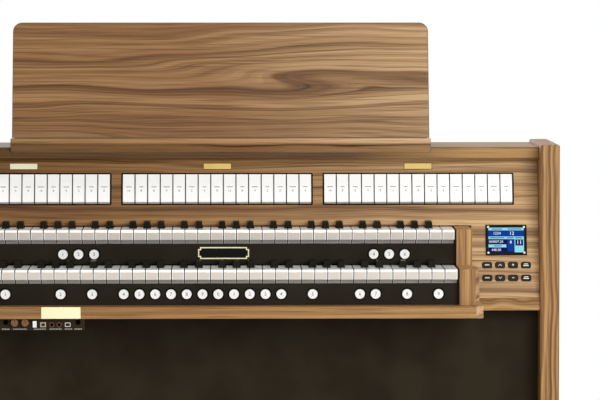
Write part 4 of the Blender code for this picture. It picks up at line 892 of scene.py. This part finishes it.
@dataclass
class Manuals:
    """Both keyboards with their dark rails, thumb pistons and the bare plates."""

    key_pitch: float = 0.0235
    key_gap: float = 0.0009
    # Each manual's naturals get their own grey; the upper manual's darker grey is painted shade. Both
    # also get painted highlight and shade from MouldedRow
    key_fronts: tuple[tuple[str, str], ...] = (("lower", "D2C9BF"), ("upper", "C2BBB1"))
    piston_pitch: float = 0.02845
    last_piston_x: float = 0.3886
    lower_steps: tuple[float, ...] = (0, 2, 4, 5, 8, *range(10, 21), 22, 24, 27.5)
    upper_middle_x: float = 0.0190
    upper_reach: float = 0.28425
    lower_z: float = 0.8269
    upper_z: float = 0.8923
    rail_fronts: Point = (-0.089, 0.011)
    piston_radius: float = 0.0088
    piston_gap: float = 0.0005
    # The near-black ring round each piston, outside its gap, is painted shade
    collar_width: float = 0.0018
    collar_rise: float = 0.0009
    number_height: float = 0.0062
    plate_size: Point = (0.0939, 0.0226)
    plate_z: float = 0.8944
    plate_step: float = 0.0030
    line_step: float = 0.0036
    line_insets: Point = (0.0006, 0.0050)
    line_lifts: Point = (0.0013, 0.0009)
    keyslip_plate: tuple[Point, Point] = ((-0.2925, 0.79585), (0.0705, 0.0209))

    def build(self) -> None:
        """Dresses the keys and rails and adds the pistons' rings of painted shade, numbers and plates.
        """
        for manual, front in self.key_fronts:
            naturals = (f"{manual}_naturals_odd", f"{manual}_naturals_even")
            ivory = MouldedRow(
                f"acrylic_with_painted_light_{manual}_naturals",
                front,
                front,
                roughness=0.22,
                pitch=self.key_pitch,
                first_gap=min(local_left(name) for name in naturals) - self.key_gap / 2,
            )
            dress(ivory, *naturals)
            for finish, kind in (
                (EBONY, "sharps"),
                (DARK_RAIL, "piston_rail"),
                (PISTON_WHITE, "pistons"),
                (STEEL, "key_frame"),
                (FELT, "key_stop"),
            ):
                dress(finish, f"{manual}_{kind}")
        lower = [self.last_piston_x - step * self.piston_pitch for step in self.lower_steps]
        steps = [self.upper_reach + (i - 1) * self.piston_pitch for i in range(3)]
        upper = [self.upper_middle_x + sign * x for sign in (-1, 1) for x in steps]
        self.build_pistons("lower", lower, self.lower_z, self.rail_fronts[0])
        self.build_pistons("upper", upper, self.upper_z, self.rail_fronts[1])
        self.build_rail_plate()
        self.build_keyslip_plate()

    def build_pistons(self, manual: str, places: Sequence[float], z: float, rail: float) -> None:
        """Adds a ring of painted shade round each piston, for the gap round it, and a pale number on its
        face.

        Args:
            manual: The manual's name.
            places: X of each piston.
            z: Height of the row.
            rail: Y of the rail's front face.
        """
        shade_rings, numbers = bmesh.new(), bmesh.new()
        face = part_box(f"{manual}_pistons")[0][1]
        inner = self.piston_radius + self.piston_gap
        for number, x in enumerate(sorted(places), 1):
            rims = (disc((x, z), inner + self.collar_width, 32), disc((x, z), inner, 32))
            add_frame(shade_rings, *rims, rail - self.collar_rise, rail)
            add_number(numbers, str(number % 10), (x, z), self.number_height, face - PRINT_LIFT)
        place_piece(f"{manual}_piston_collars", shade_rings, GAP_SHADE_BLACK, "case", smooth=True)
        place_piece(f"{manual}_piston_numbers", numbers, PRINT_GREY, f"{manual}_pistons")

    def build_rail_plate(self) -> None:
        """Adds the dark plate on the upper rail, with its pale line and stepped corners."""
        centre = (0.0, self.plate_z)
        width, height = self.plate_size
        rail = self.rail_fronts[1]
        outline = stepped(centre, self.plate_size, self.plate_step)
        plate = prisms([outline], rail - PLATE_THICKNESS, rail, PLATE_EDGE)
        place_piece("upper_rail_plate", plate, BLACK_ABS, "case")
        line = bmesh.new()
        outlines = [
            stepped(centre, (width - inset, height - inset), self.line_step)
            for inset in self.line_insets
        ]
        add_frame(line, *outlines, *(rail - lift for lift in self.line_lifts))
        place_piece("upper_rail_plate_line", line, CREAM, "case")

    def build_keyslip_plate(self) -> None:
        """Adds the bare cream plate on the keyslip."""
        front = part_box("keyslip")[0][1]
        plate = prisms([block(*self.keyslip_plate)], front - PLATE_THICKNESS, front, PLATE_EDGE)
        place_piece("keyslip_plate", plate, CREAM, "case")


@dataclass
class StopPanel:
    """The leaning panel with its rows of rocking tabs, painted shade round the slots and brass plates.
    """

    foot: Place = (0.0, 0.062, 0.8067)
    lean: float = math.radians(15.4)
    groups: tuple[tuple[str, float, int, Finish], ...] = (
        ("pedal_stop", -0.3736, 14, PALE_BRASS),
        ("manual_one_stop", -0.0120, 15, BRASS),
        ("manual_two_stop", 0.3615, 15, BRASS),
    )
    tab_pitch: float = 0.0234
    tab_gap: float = 0.0012
    shaded_gap: float = 0.0021
    tab_foot: float = 0.1793
    tab_height: float = 0.0554
    tab_face: float = -0.0012
    lip_size: Point = (0.0212, 0.0022)
    # Width and rise of the near-black band of painted shade round each slot
    lining: float = 0.0021
    lining_rise: float = 0.0005
    slot_room: float = 0.0012
    slot_corner: float = 0.0024
    rule_share: float = 0.57
    rule_height: float = 0.0012
    rule_widths: Point = (0.007, 0.0045)
    number_drop: float = 0.0072
    number_height: float = 0.0042
    plate_size: Point = (0.0507, 0.0107)
    plate_rise: float = 0.2501
    plates_x: tuple[float, ...] = (-0.3708, -0.0114, 0.3615)
    # The black border round each brass plate is painted shadow
    bed_border: float = 0.0016
    bed_rise: float = 0.0003
    footages: tuple[int, ...] = (16, 8, 8, 4, 8, 2, 4, 8, 16, 8, 4, 2, 8, 8, 4)

    @property
    def plane(self) -> Matrix:
        """The panel's own frame: X across, Z up the slope, Y into the panel."""
        return Matrix.Translation(self.foot) @ Matrix.Rotation(-self.lean, 4, "X")

    def build(self) -> None:
        """Dresses the panel and its tabs and adds the slots' painted shade, prints and plates."""
        dress(PANEL_VENEER, "stop_panel")
        for name, centre, count, _ in self.groups:
            # The tabs get a painted highlight on upward faces and painted shade in their gaps and on
            # their side faces
            white = MouldedRow(
                f"polished_abs_{name}_tabs",
                "FEFDFC",
                "FCFBF9",
                roughness=0.25,
                pitch=self.tab_pitch,
                first_gap=local_left(f"{name}_tabs") - self.tab_gap / 2,
                gap=self.shaded_gap,
            )
            dress(white, f"{name}_tabs")
            dress(SOLDER_MASK, f"{name}_switches")
            self.build_lining(name, centre, count)
            self.build_prints(name, centre, count)
        self.build_plates()

    def build_lining(self, name: str, centre: float, count: int) -> None:
        """Adds the thin near-black band of painted shade that edges a slot.

        Args:
            name: The group's name.
            centre: X of its middle.
            count: The number of its tabs.
        """
        middle = (centre, self.tab_foot + self.tab_height / 2)
        row = (count * self.tab_pitch - self.tab_gap, self.tab_height)
        slot = tuple(side + self.slot_room for side in row)
        outer = tuple(side + 2 * self.lining for side in slot)
        rims = (rounded(middle, outer, self.slot_corner), rounded(middle, slot, self.slot_corner / 2))
        bm = bmesh.new()
        add_frame(bm, *rims, -self.lining_rise, 0.0)
        place_piece(f"{name}_slot_lining", bm, GAP_SHADE_BLACK, "case", self.plane)

    def build_prints(self, name: str, centre: float, count: int) -> None:
        """Prints a short rule and a plain number on each tab, and lays a grey strip of painted shade
        along its foot.

        Args:
            name: The group's name.
            centre: X of its middle.
            count: The number of its tabs.
        """
        bm = bmesh.new()
        face = self.tab_face - PRINT_LIFT
        rise = self.tab_foot + self.tab_height * self.rule_share
        places = [centre + (i + 0.5 - count / 2) * self.tab_pitch for i in range(count)]
        least, spread = self.rule_widths
        for i, x in enumerate(places):
            wide = least + spread * ((i * 7 + 3) % 5) / 4
            rule = block((x, rise), (wide, self.rule_height))
            add_prism(bm, rule, face, face + PRINT_THICKNESS)
            spot = (x, rise - self.number_drop)
            add_number(bm, str(self.footages[i]), spot, self.number_height, face)
        place_piece(f"{name}_tab_prints", bm, PRINT_GREY, f"{name}_tabs", self.plane)
        # Painted shade: a grey strip along each tab's foot stands for its unlit underside
        low = self.tab_foot + self.lip_size[1] / 2
        outlines = [block((x, low), self.lip_size) for x in places]
        lip_shades = prisms(outlines, face, face + PRINT_THICKNESS)
        place_piece(f"{name}_tab_lips", lip_shades, LIP_GREY, f"{name}_tabs", self.plane)

    def build_plates(self) -> None:
        """Adds the bare brass plate over each group, on a black border of painted shadow."""
        shadow_size = tuple(side + self.bed_border for side in self.plate_size)
        for (name, _, _, brass), x in zip(self.groups, self.plates_x):
            spot = (x, self.plate_rise)
            plate = prisms([block(spot, self.plate_size)], -PLATE_THICKNESS, 0.0, PLATE_EDGE)
            place_piece(f"{name}_plate", plate, brass, "case", self.plane)
            # Painted shadow: a black border round the plate
            bed = prisms([block(spot, shadow_size)], -self.bed_rise, 0.0)
            place_piece(f"{name}_plate_bed", bed, BLACK_ABS, "case", self.plane)


@dataclass
class ControlCluster:
    """The display with its lit picture and screws, and the menu buttons below it."""

    plane: Matrix
    centre: Point = (0.5234, 0.1094)
    window: Point = (0.0662, 0.0472)
    glass: float = -0.0017
    field_rise: float = 0.00006
    number_rise: float = 0.0004
    rule_rise: float = 0.0003
    rule_half_mm: float = 0.9
    screw_reach: Point = (0.0333, 0.0243)
    screw_radius: float = 0.0021
    screw_depths: Point = (-0.0037, -0.0016)
    button_pitch: Point = (0.02397, 0.0243)
    button_low: float = 0.0380
    button_face: float = -0.0024
    glyph_rise: float = 0.00015
    glyphs: tuple[tuple[Glyph, ...], ...] = (
        (Glyph.WORD, Glyph.DOWN, Glyph.MINUS, Glyph.LINES),
        (Glyph.WORD, Glyph.UP, Glyph.PLUS, Glyph.LINES),
    )

    def build(self) -> None:
        """Dresses the display and buttons and adds the picture, screws and glyphs."""
        dress(BLACK_ABS, "display_bezel")
        dress(GLASS_BLACK, "display_screen")
        dress(BUTTON_RUBBER, "menu_buttons")
        self.build_picture()
        self.build_screws()
        self.build_glyphs()

    def field(self, left: float, right: float, top: float, bottom: float) -> list[Point]:
        """Returns the corners of a field, given in mm from the picture's left and top edges."""
        x = self.centre[0] - self.window[0] / 2
        z = self.centre[1] + self.window[1] / 2
        corners = ((left, bottom), (right, bottom), (right, top), (left, top))
        return [(x + across / 1000, z - down / 1000) for across, down in corners]

    def build_picture(self) -> None:
        """Builds the lit fields, rules and plain numbers of the picture."""
        fields = {
            BacklitInk("lit_cyan", "9ADFF0", 0.8): (
                (0.3, 65.9, 0.3, 5.4),
                (0.3, 65.9, 17.0, 22.0),
                (0.3, 33.2, 32.0, 37.6),
                (48.6, 65.9, 22.4, 46.9),
            ),
            BacklitInk("lit_blue", "103C9C", 0.8): ((0.3, 65.9, 5.8, 16.4), (35.6, 47.6, 22.4, 45.2)),
            BacklitInk("lit_navy", "06185C", 0.8): (
                (0.3, 33.2, 22.5, 31.6),
                (0.3, 33.2, 38.1, 46.9),
                (50.0, 64.4, 22.9, 34.2),
            ),
        }
        for level, (ink, places) in enumerate(fields.items()):
            front = self.glass - PRINT_LIFT - self.field_rise * level
            bm = prisms([self.field(*place) for place in places], front, self.glass)
            place_piece(f"display_{ink.name}", bm, ink, "case", self.plane)
        numbers = bmesh.new()
        for text, x, z, height in (
            ("1234", 16.0, 11.2, 5.0),
            ("12", 43.5, 11.2, 6.4),
            ("000007.25", 14.5, 27.0, 4.4),
            ("440.00", 14.5, 42.5, 4.6),
            ("8", 41.6, 28.0, 5.6),
            ("11", 57.2, 28.4, 7.4),
        ):
            spot = self.field(x, x, z, z)[0]
            add_number(numbers, text, spot, height / 1000, self.glass - self.number_rise)
        white = BacklitInk("lit_white", "F4FAFF", 0.9)
        place_piece("display_numbers", numbers, white, "case", self.plane)
        rows = {2.9: ((7, 26), (36, 62)), 19.5: ((3, 30), (34, 47), (50, 63)), 34.8: ((10, 24),)}
        half = self.rule_half_mm
        rules = [self.field(*ends, row - half, row + half) for row in rows for ends in rows[row]]
        bm = prisms(rules, self.glass - self.rule_rise, self.glass)
        place_piece("display_rules", bm, BacklitInk("lit_slate", "3E7F9C", 0.7), "case", self.plane)

    def build_screws(self) -> None:
        """Adds the four bright screws at the display's corners."""
        (x, z), (u, v) = self.centre, self.screw_reach
        spots = [(x + sx * u, z + sz * v) for sx in (-1, 1) for sz in (-1, 1)]
        heads = [disc(spot, self.screw_radius, 20) for spot in spots]
        bm = prisms(heads, *self.screw_depths, SCREW_EDGE)
        place_piece("display_screws", bm, WHITE_PRINT, "case", self.plane, smooth=True)

    def build_glyphs(self) -> None:
        """Prints a plain mark on each menu button."""
        strokes = []
        for row, marks in enumerate(self.glyphs):
            for column, glyph in enumerate(marks):
                x = self.centre[0] + (column - 1.5) * self.button_pitch[0]
                strokes += self.mark(glyph, x, self.button_low + row * self.button_pitch[1])
        bm = prisms(strokes, self.button_face - self.glyph_rise, self.button_face)
        place_piece("menu_button_glyphs", bm, WHITE_PRINT, "menu_buttons", self.plane)

    def mark(self, glyph: Glyph, x: float, z: float) -> list[list[Point]]:
        """Draws one mark in strokes.

        Args:
            glyph: Which mark.
            x: X of its middle.
            z: Rise of its middle.

        Returns:
            The corners of each stroke.
        """
        if glyph is Glyph.WORD:
            return [block((x + i * 0.0022, z), (0.0017, 0.0021)) for i in (-1.5, -0.5, 0.5, 1.5)]
        if glyph is Glyph.LINES:
            return [block((x, z + 0.0016), (0.0076, 0.0016)), block((x, z - 0.0014), (0.0100, 0.0018))]
        if glyph is Glyph.PLUS:
            return [block((x, z), (0.0044, 0.0012)), block((x, z), (0.0012, 0.0044))]
        if glyph is Glyph.MINUS:
            return [block((x, z), (0.0042, 0.0013))]
        way = 1 if glyph is Glyph.UP else -1
        tip, thick, wide, notch = way * 0.0019, way * 0.0013, 0.0034, 0.0022
        outer = [(x - wide, z - tip), (x, z + tip), (x + wide, z - tip)]
        return [outer + [(x + notch, z - tip), (x, z + tip - thick), (x - notch, z - tip)]]


@dataclass
class MusicDesk:
    """The leaning desk board on its ledge, whose solid lipping hangs over the top board's edge."""

    lip_face: float = 0.0110
    lip_drop: float = 0.0285
    lip_depth: float = 0.0120
    lip_back_drop: float = 0.0170
    lip_round: float = 0.0020
    lip_steps: int = 6
    lip_curve: float = 1.3
    lip_cover: Place = (0.0004, 0.0006, 0.0004)
    lip_clearance: float = 0.0002
    board_front: float = 0.02
    band: float = 0.0011
    band_overhang: float = 0.0002
    band_lifts: Point = (0.00015, -0.00005)
    same_plane: float = 0.9995

    def build(self) -> None:
        """Dresses the board and the ledge and adds the bands and the lipping."""
        dress(DESK_VENEER, "music_desk")
        dress(LEDGE_VENEER, "music_ledge")
        self.build_edge_bands()
        self.build_lipping()

    def build_lipping(self) -> None:
        """Adds the moulding along the ledge's front edge."""
        low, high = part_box("music_ledge")
        side, front, _ = self.lip_cover
        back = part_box("top_board")[0][1] - self.lip_clearance
        section = self.profile(low[1] - front, back, self.top(low[1]))
        bm = bmesh.new()
        rims = [
            [bm.verts.new((x, y, z)) for y, z in section] for x in (low[0] - side, high[0] + side)
        ]
        for i in range(len(section)):
            j = (i + 1) % len(section)
            bm.faces.new((rims[0][i], rims[0][j], rims[1][j], rims[1][i]))
        for rim in rims:
            bm.faces.new(rim)
        bevelled(bm, self.lip_round)
        place_piece("music_ledge_lipping", bm, LIP_VENEER, "case", smooth=True)

    def build_edge_bands(self) -> None:
        """Adds a thin dark band along the desk board's edge, all round its front face."""
        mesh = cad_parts["music_desk"].data
        normal = max(mesh.polygons, key=lambda face: -face.normal.y * face.area).normal.copy()
        uses: dict[tuple[Place, ...], int] = {}
        for face in (f for f in mesh.polygons if f.normal.dot(normal) > self.same_plane):
            for pair in face.edge_keys:
                ends = tuple(sorted(tuple(round(c, 6) for c in mesh.vertices[i].co) for i in pair))
                uses[ends] = uses.get(ends, 0) + 1
        rim = [[Vector(point) for point in ends] for ends, count in uses.items() if count == 1]
        middle = sum((point for ends in rim for point in ends), Vector()) / (2 * len(rim))
        bm = bmesh.new()
        sides = ((0, 1, 2, 3), (7, 6, 5, 4), (0, 4, 5, 1), (1, 5, 6, 2), (2, 6, 7, 3), (3, 7, 4, 0))
        for first, last in rim:
            inward = normal.cross((last - first).normalized())
            if inward.dot(middle - first) < 0:
                inward.negate()
            outer, inner = inward * self.band_overhang, inward * self.band
            quad = [first + outer, last + outer, last + inner, first + inner]
            verts = [bm.verts.new(point + normal * lift) for lift in self.band_lifts for point in quad]
            for corners in sides:
                bm.faces.new([verts[i] for i in corners])
        bm.transform(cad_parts["music_desk"].matrix_world)
        place_piece("music_desk_edge_bands", bm, EDGE_BAND, "case")

    def top(self, front: float) -> float:
        """Returns the height of the lipping's upper face, just over the ledge's front edge."""
        corners = [vert.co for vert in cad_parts["music_ledge"].data.vertices]
        heights = [round(corner.z, 4) for corner in corners if corner.y < front + self.board_front]
        return max(heights) + self.lip_cover[2]

    def profile(self, front: float, back: float, top: float) -> list[Point]:
        """Draws the lipping's section: a flat face, then a curve under to the top board's front.

        Args:
            front: Y of the flat face.
            back: Y of the top board's front face.
            top: Z of the upper face.

        Returns:
            Y and Z of each corner.
        """
        drop = self.lip_drop - self.lip_face
        points = [(front + self.lip_depth, top), (front, top), (front, top - self.lip_face)]
        for i in range(1, self.lip_steps + 1):
            share = i / self.lip_steps
            y = front + (back - front) * share**self.lip_curve
            points.append((y, top - self.lip_face - drop * share))
        low = top - self.lip_back_drop
        return points + [(back, low), (front + self.lip_depth, low)]


@dataclass
class SocketBox:
    """The small dark box under the key bed with its knobs, switch and sockets."""

    box_front: float = -0.113
    row_z: float = 0.7737
    square_x: float = -0.3250
    square_sizes: tuple[Point, Point] = ((0.0105, 0.0088), (0.0062, 0.0048))
    square_rise: float = 0.0012
    port_x: float = -0.2807
    port_sizes: tuple[Point, Point] = ((0.0098, 0.0074), (0.0080, 0.0054))
    port_rise: float = 0.0008
    jacks_x: tuple[float, ...] = (-0.3093, -0.2961)
    jack_radii: Point = (0.0045, 0.0035)
    jack_depths: Point = (0.0036, 0.0030)
    outlets: tuple[Point, ...] = ((-0.3922, 0.7779), (-0.2620, 0.7779))
    outlet_radii: Point = (0.0046, 0.0028)
    outlet_rises: Point = (0.0010, 0.0002)
    rule_z: float = 0.7658
    rules: tuple[Point, ...] = (
        (-0.3922, 0.0134),
        (-0.3667, 0.0253),
        (-0.3308, 0.0226),
        (-0.3025, 0.0227),
        (-0.2795, 0.0139),
        (-0.2620, 0.0129),
    )
    dash: float = 0.0028
    dash_share: float = 0.72
    dash_height: float = 0.0020
    pointer_size: Point = (0.0010, 0.0045)
    pointer_rise: float = 0.0040
    pointer_thickness: float = 0.0003

    def build(self) -> None:
        """Dresses the box and adds its sockets, rules and pointers."""
        dress(KNEE_LACQUER, "socket_box")
        dress(GOLD_BROWN, "first_volume_knob", "second_volume_knob")
        dress(TAB_WHITE, "power_switch")
        self.build_rims()
        self.build_round_sockets()
        self.build_rules()
        self.build_pointers()

    def build_rims(self) -> None:
        """Adds the square socket and the rim of the port."""
        for name, x, sizes, rise, finish in (
            ("square_socket", self.square_x, self.square_sizes, self.square_rise, BEIGE),
            ("port_rim", self.port_x, self.port_sizes, self.port_rise, WHITE_PRINT),
        ):
            bm = bmesh.new()
            outlines = [block((x, self.row_z), size) for size in sizes]
            add_frame(bm, *outlines, self.box_front - rise, self.box_front)
            place_piece(name, bm, finish, "case")

    def build_round_sockets(self) -> None:
        """Adds the rims of the jack sockets, and near-black rings and floors of painted shade in the
        outlets.
        """
        front = self.box_front
        rims, hole_shades = bmesh.new(), bmesh.new()
        for x in self.jacks_x:
            outlines = [disc((x, self.row_z), radius, 20) for radius in self.jack_radii]
            add_frame(rims, *outlines, *(front - depth for depth in self.jack_depths))
        place_piece("jack_rims", rims, GOLD_BROWN, "case", smooth=True)
        rise, floor = self.outlet_rises
        for spot in self.outlets:
            outlines = [disc(spot, radius, 20) for radius in self.outlet_radii]
            add_frame(hole_shades, *outlines, front - rise, front)
            add_prism(hole_shades, disc(spot, self.outlet_radii[1], 16), front - floor, front)
        place_piece("outlet_hole_shades", hole_shades, GAP_SHADE_BLACK, "case", smooth=True)

    def build_rules(self) -> None:
        """Prints the row of short dashes under the sockets."""
        size = (self.dash * self.dash_share, self.dash_height)
        dashes = []
        for middle, width in self.rules:
            count = round(width / self.dash)
            for i in range(count):
                x = middle + (i + 0.5 - count / 2) * self.dash
                dashes.append(block((x, self.rule_z), size))
        bm = prisms(dashes, self.box_front - PRINT_THICKNESS, self.box_front)
        place_piece("socket_rules", bm, PALE_PRINT, "case")

    def build_pointers(self) -> None:
        """Adds the dark pointer on the face of each knob."""
        for name in ("first_volume_knob", "second_volume_knob"):
            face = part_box(name)[0][1]
            x, z = middle_of(name)
            outline = block((x, z + self.pointer_rise), self.pointer_size)
            bm = prisms([outline], face - self.pointer_thickness, face)
            place_piece(f"{name}_pointer", bm, BLACK_ABS, name)


@dataclass
class PedalDivision:
    """The pedalboard and the two expression pedals with their ribbed treads."""

    axle: Point = (0.126, 0.235)
    lean: float = math.radians(35.0)
    tread_size: Point = (0.083, 0.190)
    tread_heel: float = -0.052
    tread_top: float = 0.0163
    ribs: int = 15
    rib_height: float = 0.0018
    rib_half: float = 0.0032
    rib_edge: float = 0.0005
    pedals: tuple[tuple[str, float], ...] = (("general_volume_pedal", -0.055), ("swell_pedal", 0.055))

    def build(self) -> None:
        """Dresses the pedals and adds the treads."""
        dress(SLIP_VENEER, "pedal_frame")
        dress(OAK, "pedal_naturals")
        dress(EBONY, "pedal_sharps")
        dress(STEEL, "expression_bracket")
        width, length = self.tread_size
        section = block((0.0, self.tread_top + self.rib_height / 2), (width, self.rib_height))
        for name, x in self.pedals:
            dress(RUBBER, name)
            bm = bmesh.new()
            for i in range(self.ribs):
                y = self.tread_heel + length * (i + 0.5) / self.ribs
                add_prism(bm, section, y - self.rib_half, y + self.rib_half, self.rib_edge)
            where = Matrix.Translation((x, *self.axle)) @ Matrix.Rotation(self.lean, 4, "X")
            place_piece(f"{name}_tread", bm, RUBBER, name, where)


@dataclass
class SoundSystem:
    """The cloth grille and everything electric behind the boards."""

    pin_size: Point = (0.002, 0.004)
    pin_places: tuple[Point, ...] = ((-0.007, -0.002), (0.0, 0.003), (0.007, -0.002))
    pin_depths: Point = (0.017, 0.003)

    def build(self) -> None:
        """Dresses the grille, the loudspeakers and the electronics, and adds the inlet's pins."""
        dress(GRILLE_CLOTH, "speaker_grille")
        dress(PAPER_CONE, "left_loudspeaker", "right_loudspeaker")
        dress(ALUMINIUM, "amplifier")
        dress(STEEL, "power_supply")
        dress(GREEN_MASK, "main_board")
        dress(BLACK_ABS, "mains_inlet")
        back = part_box("mains_inlet")[1][1]
        x, z = middle_of("mains_inlet")
        pins = [block((x + dx, z + dz), self.pin_size) for dx, dz in self.pin_places]
        bm = prisms(pins, *(back - depth for depth in self.pin_depths))
        place_piece("mains_inlet_pins", bm, NICKEL, "case")


@dataclass(frozen=True)
class Lamp:
    """A square soft lamp: where it hangs, the side of its square and its power in watts."""

    name: str
    place: Place
    size: float
    power: float

    def build(self, aim: Place) -> None:
        """Adds the lamp, turned to a point.

        Args:
            aim: The point that it lights.
        """
        data = bpy.data.lights.new(self.name, "AREA")
        data.shape = "SQUARE"
        data.size = self.size
        data.energy = self.power
        lamp = bpy.data.objects.new(self.name, data)
        lamp.location = self.place
        way = Vector(aim) - Vector(self.place)
        lamp.rotation_euler = way.to_track_quat("-Z", "Y").to_euler()
        bpy.context.scene.collection.objects.link(lamp)


@dataclass
class Studio:
    """The pale floor, the soft lamps and the long-lens camera."""

    camera_place: Place = (0.0, -7.364, 1.3896)
    pitch: float = math.radians(3.09)
    yaw: float = math.radians(1.087)
    focal_px: float = 4036.0
    photo_px: float = 600.0
    sensor_mm: float = 36.0
    aim: Place = (0.1, 0.1, 0.85)
    lamps: tuple[Lamp, ...] = (
        Lamp("key", (1.5, -4.1, 1.95), 1.8, 124.0),
        Lamp("fill", (-3.2, -3.8, 1.5), 3.0, 12.0),
        Lamp("top", (0.1, -0.9, 4.2), 0.8, 34.0),
        Lamp("back", (-2.2, 4.4, 2.2), 2.6, 90.0),
    )
    floor_reach: float = 9.0
    floor_drop: float = 0.0005
    floor_fade: Point = (1.6, 4.5)
    sky: float = 0.30

    def build(self) -> None:
        """Sets the floor, world, lamps, camera and colour view."""
        self.build_floor()
        self.build_world()
        for lamp in self.lamps:
            lamp.build(self.aim)
        self.build_camera()
        bpy.context.scene.view_settings.view_transform = "Standard"

    def build_camera(self) -> None:
        """Adds the camera where the photograph was taken from."""
        data = bpy.data.cameras.new("studio_camera")
        data.sensor_width = self.sensor_mm
        data.lens = self.focal_px * self.sensor_mm / self.photo_px
        data.clip_end = 100.0
        camera = bpy.data.objects.new("studio_camera", data)
        camera.location = self.camera_place
        camera.rotation_euler = (math.pi / 2 - self.pitch, 0.0, -self.yaw)
        bpy.context.scene.collection.objects.link(camera)
        bpy.context.scene.camera = camera

    def build_floor(self) -> None:
        """Lays the pale floor, which fades to plain white away from the organ."""
        bm = bmesh.new()
        bmesh.ops.create_circle(bm, cap_ends=True, segments=96, radius=self.floor_reach)
        mesh = bpy.data.meshes.new("studio_floor")
        bm.to_mesh(mesh)
        bm.free()
        material, tree, shader = new_material("pale_studio_floor")
        set_inputs(shader, {"Base Color": linear("EDEDEB"), "Roughness": 0.8})
        coords = add_node(tree, "TexCoord").outputs["Object"]
        far = add_node(tree, "VectorMath", {"operation": "LENGTH"}, {0: coords}).outputs["Value"]
        low, high = self.floor_fade
        inputs = {"Value": far, "From Min": low, "From Max": high}
        fade = add_node(tree, "MapRange", {"interpolation_type": "SMOOTHSTEP"}, inputs).outputs[0]
        seen = add_node(tree, "LightPath").outputs["Is Camera Ray"]
        shown = add_node(tree, "Math", {"operation": "MULTIPLY"}, {0: fade, 1: seen}).outputs[0]
        self.add_white(tree, "Emission", shown, shader, "Material Output")
        mesh.materials.append(material)
        floor = bpy.data.objects.new("studio_floor", mesh)
        floor.location = (0.0, 0.0, -self.floor_drop)
        bpy.context.scene.collection.objects.link(floor)

    def build_world(self) -> None:
        """Makes the background white to the camera and softly lit to the organ."""
        world = bpy.data.worlds.new("studio_world")
        bpy.context.scene.world = world
        world.use_nodes = True
        tree = world.node_tree
        soft = tree.nodes["Background"]
        set_inputs(soft, {"Color": linear("F2F2F0"), "Strength": self.sky})
        rays = add_node(tree, "LightPath").outputs
        seen = rays["Is Camera Ray"]
        for word in ("Is Transmission Ray", "Is Glossy Ray"):
            terms = {0: seen, 1: rays[word]}
            seen = add_node(tree, "Math", {"operation": "MAXIMUM"}, terms).outputs[0]
        self.add_white(tree, "Background", seen, soft, "World Output")

    def add_white(
        self, tree: Tree, kind: str, factor: Socket, under: bpy.types.Node, output: str
    ) -> None:
        """Covers a shader with plain white where a factor says.

        Args:
            tree: The node tree.
            kind: The type of the white shader.
            factor: Where the white shows.
            under: The shader under it.
            output: The name of the tree's output node.
        """
        white = add_node(tree, kind, inputs={"Color": (1.0, 1.0, 1.0, 1.0), "Strength": 1.0})
        inputs = {0: factor, 1: under.outputs[0], 2: white.outputs[0]}
        mixed = add_node(tree, "MixShader", inputs=inputs).outputs[0]
        set_inputs(tree.nodes[output], {"Surface": mixed})


def main() -> None:
    """Builds the studio and every sub-assembly."""
    logging.basicConfig(level=logging.INFO, format="%(message)s")
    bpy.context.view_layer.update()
    Studio().build()
    stop_panel = StopPanel()
    for assembly in (
        Cabinet(),
        Manuals(),
        stop_panel,
        ControlCluster(stop_panel.plane),
        MusicDesk(),
        SocketBox(),
        PedalDivision(),
        SoundSystem(),
    ):
        assembly.build()


if __name__ == "__main__":
    main()
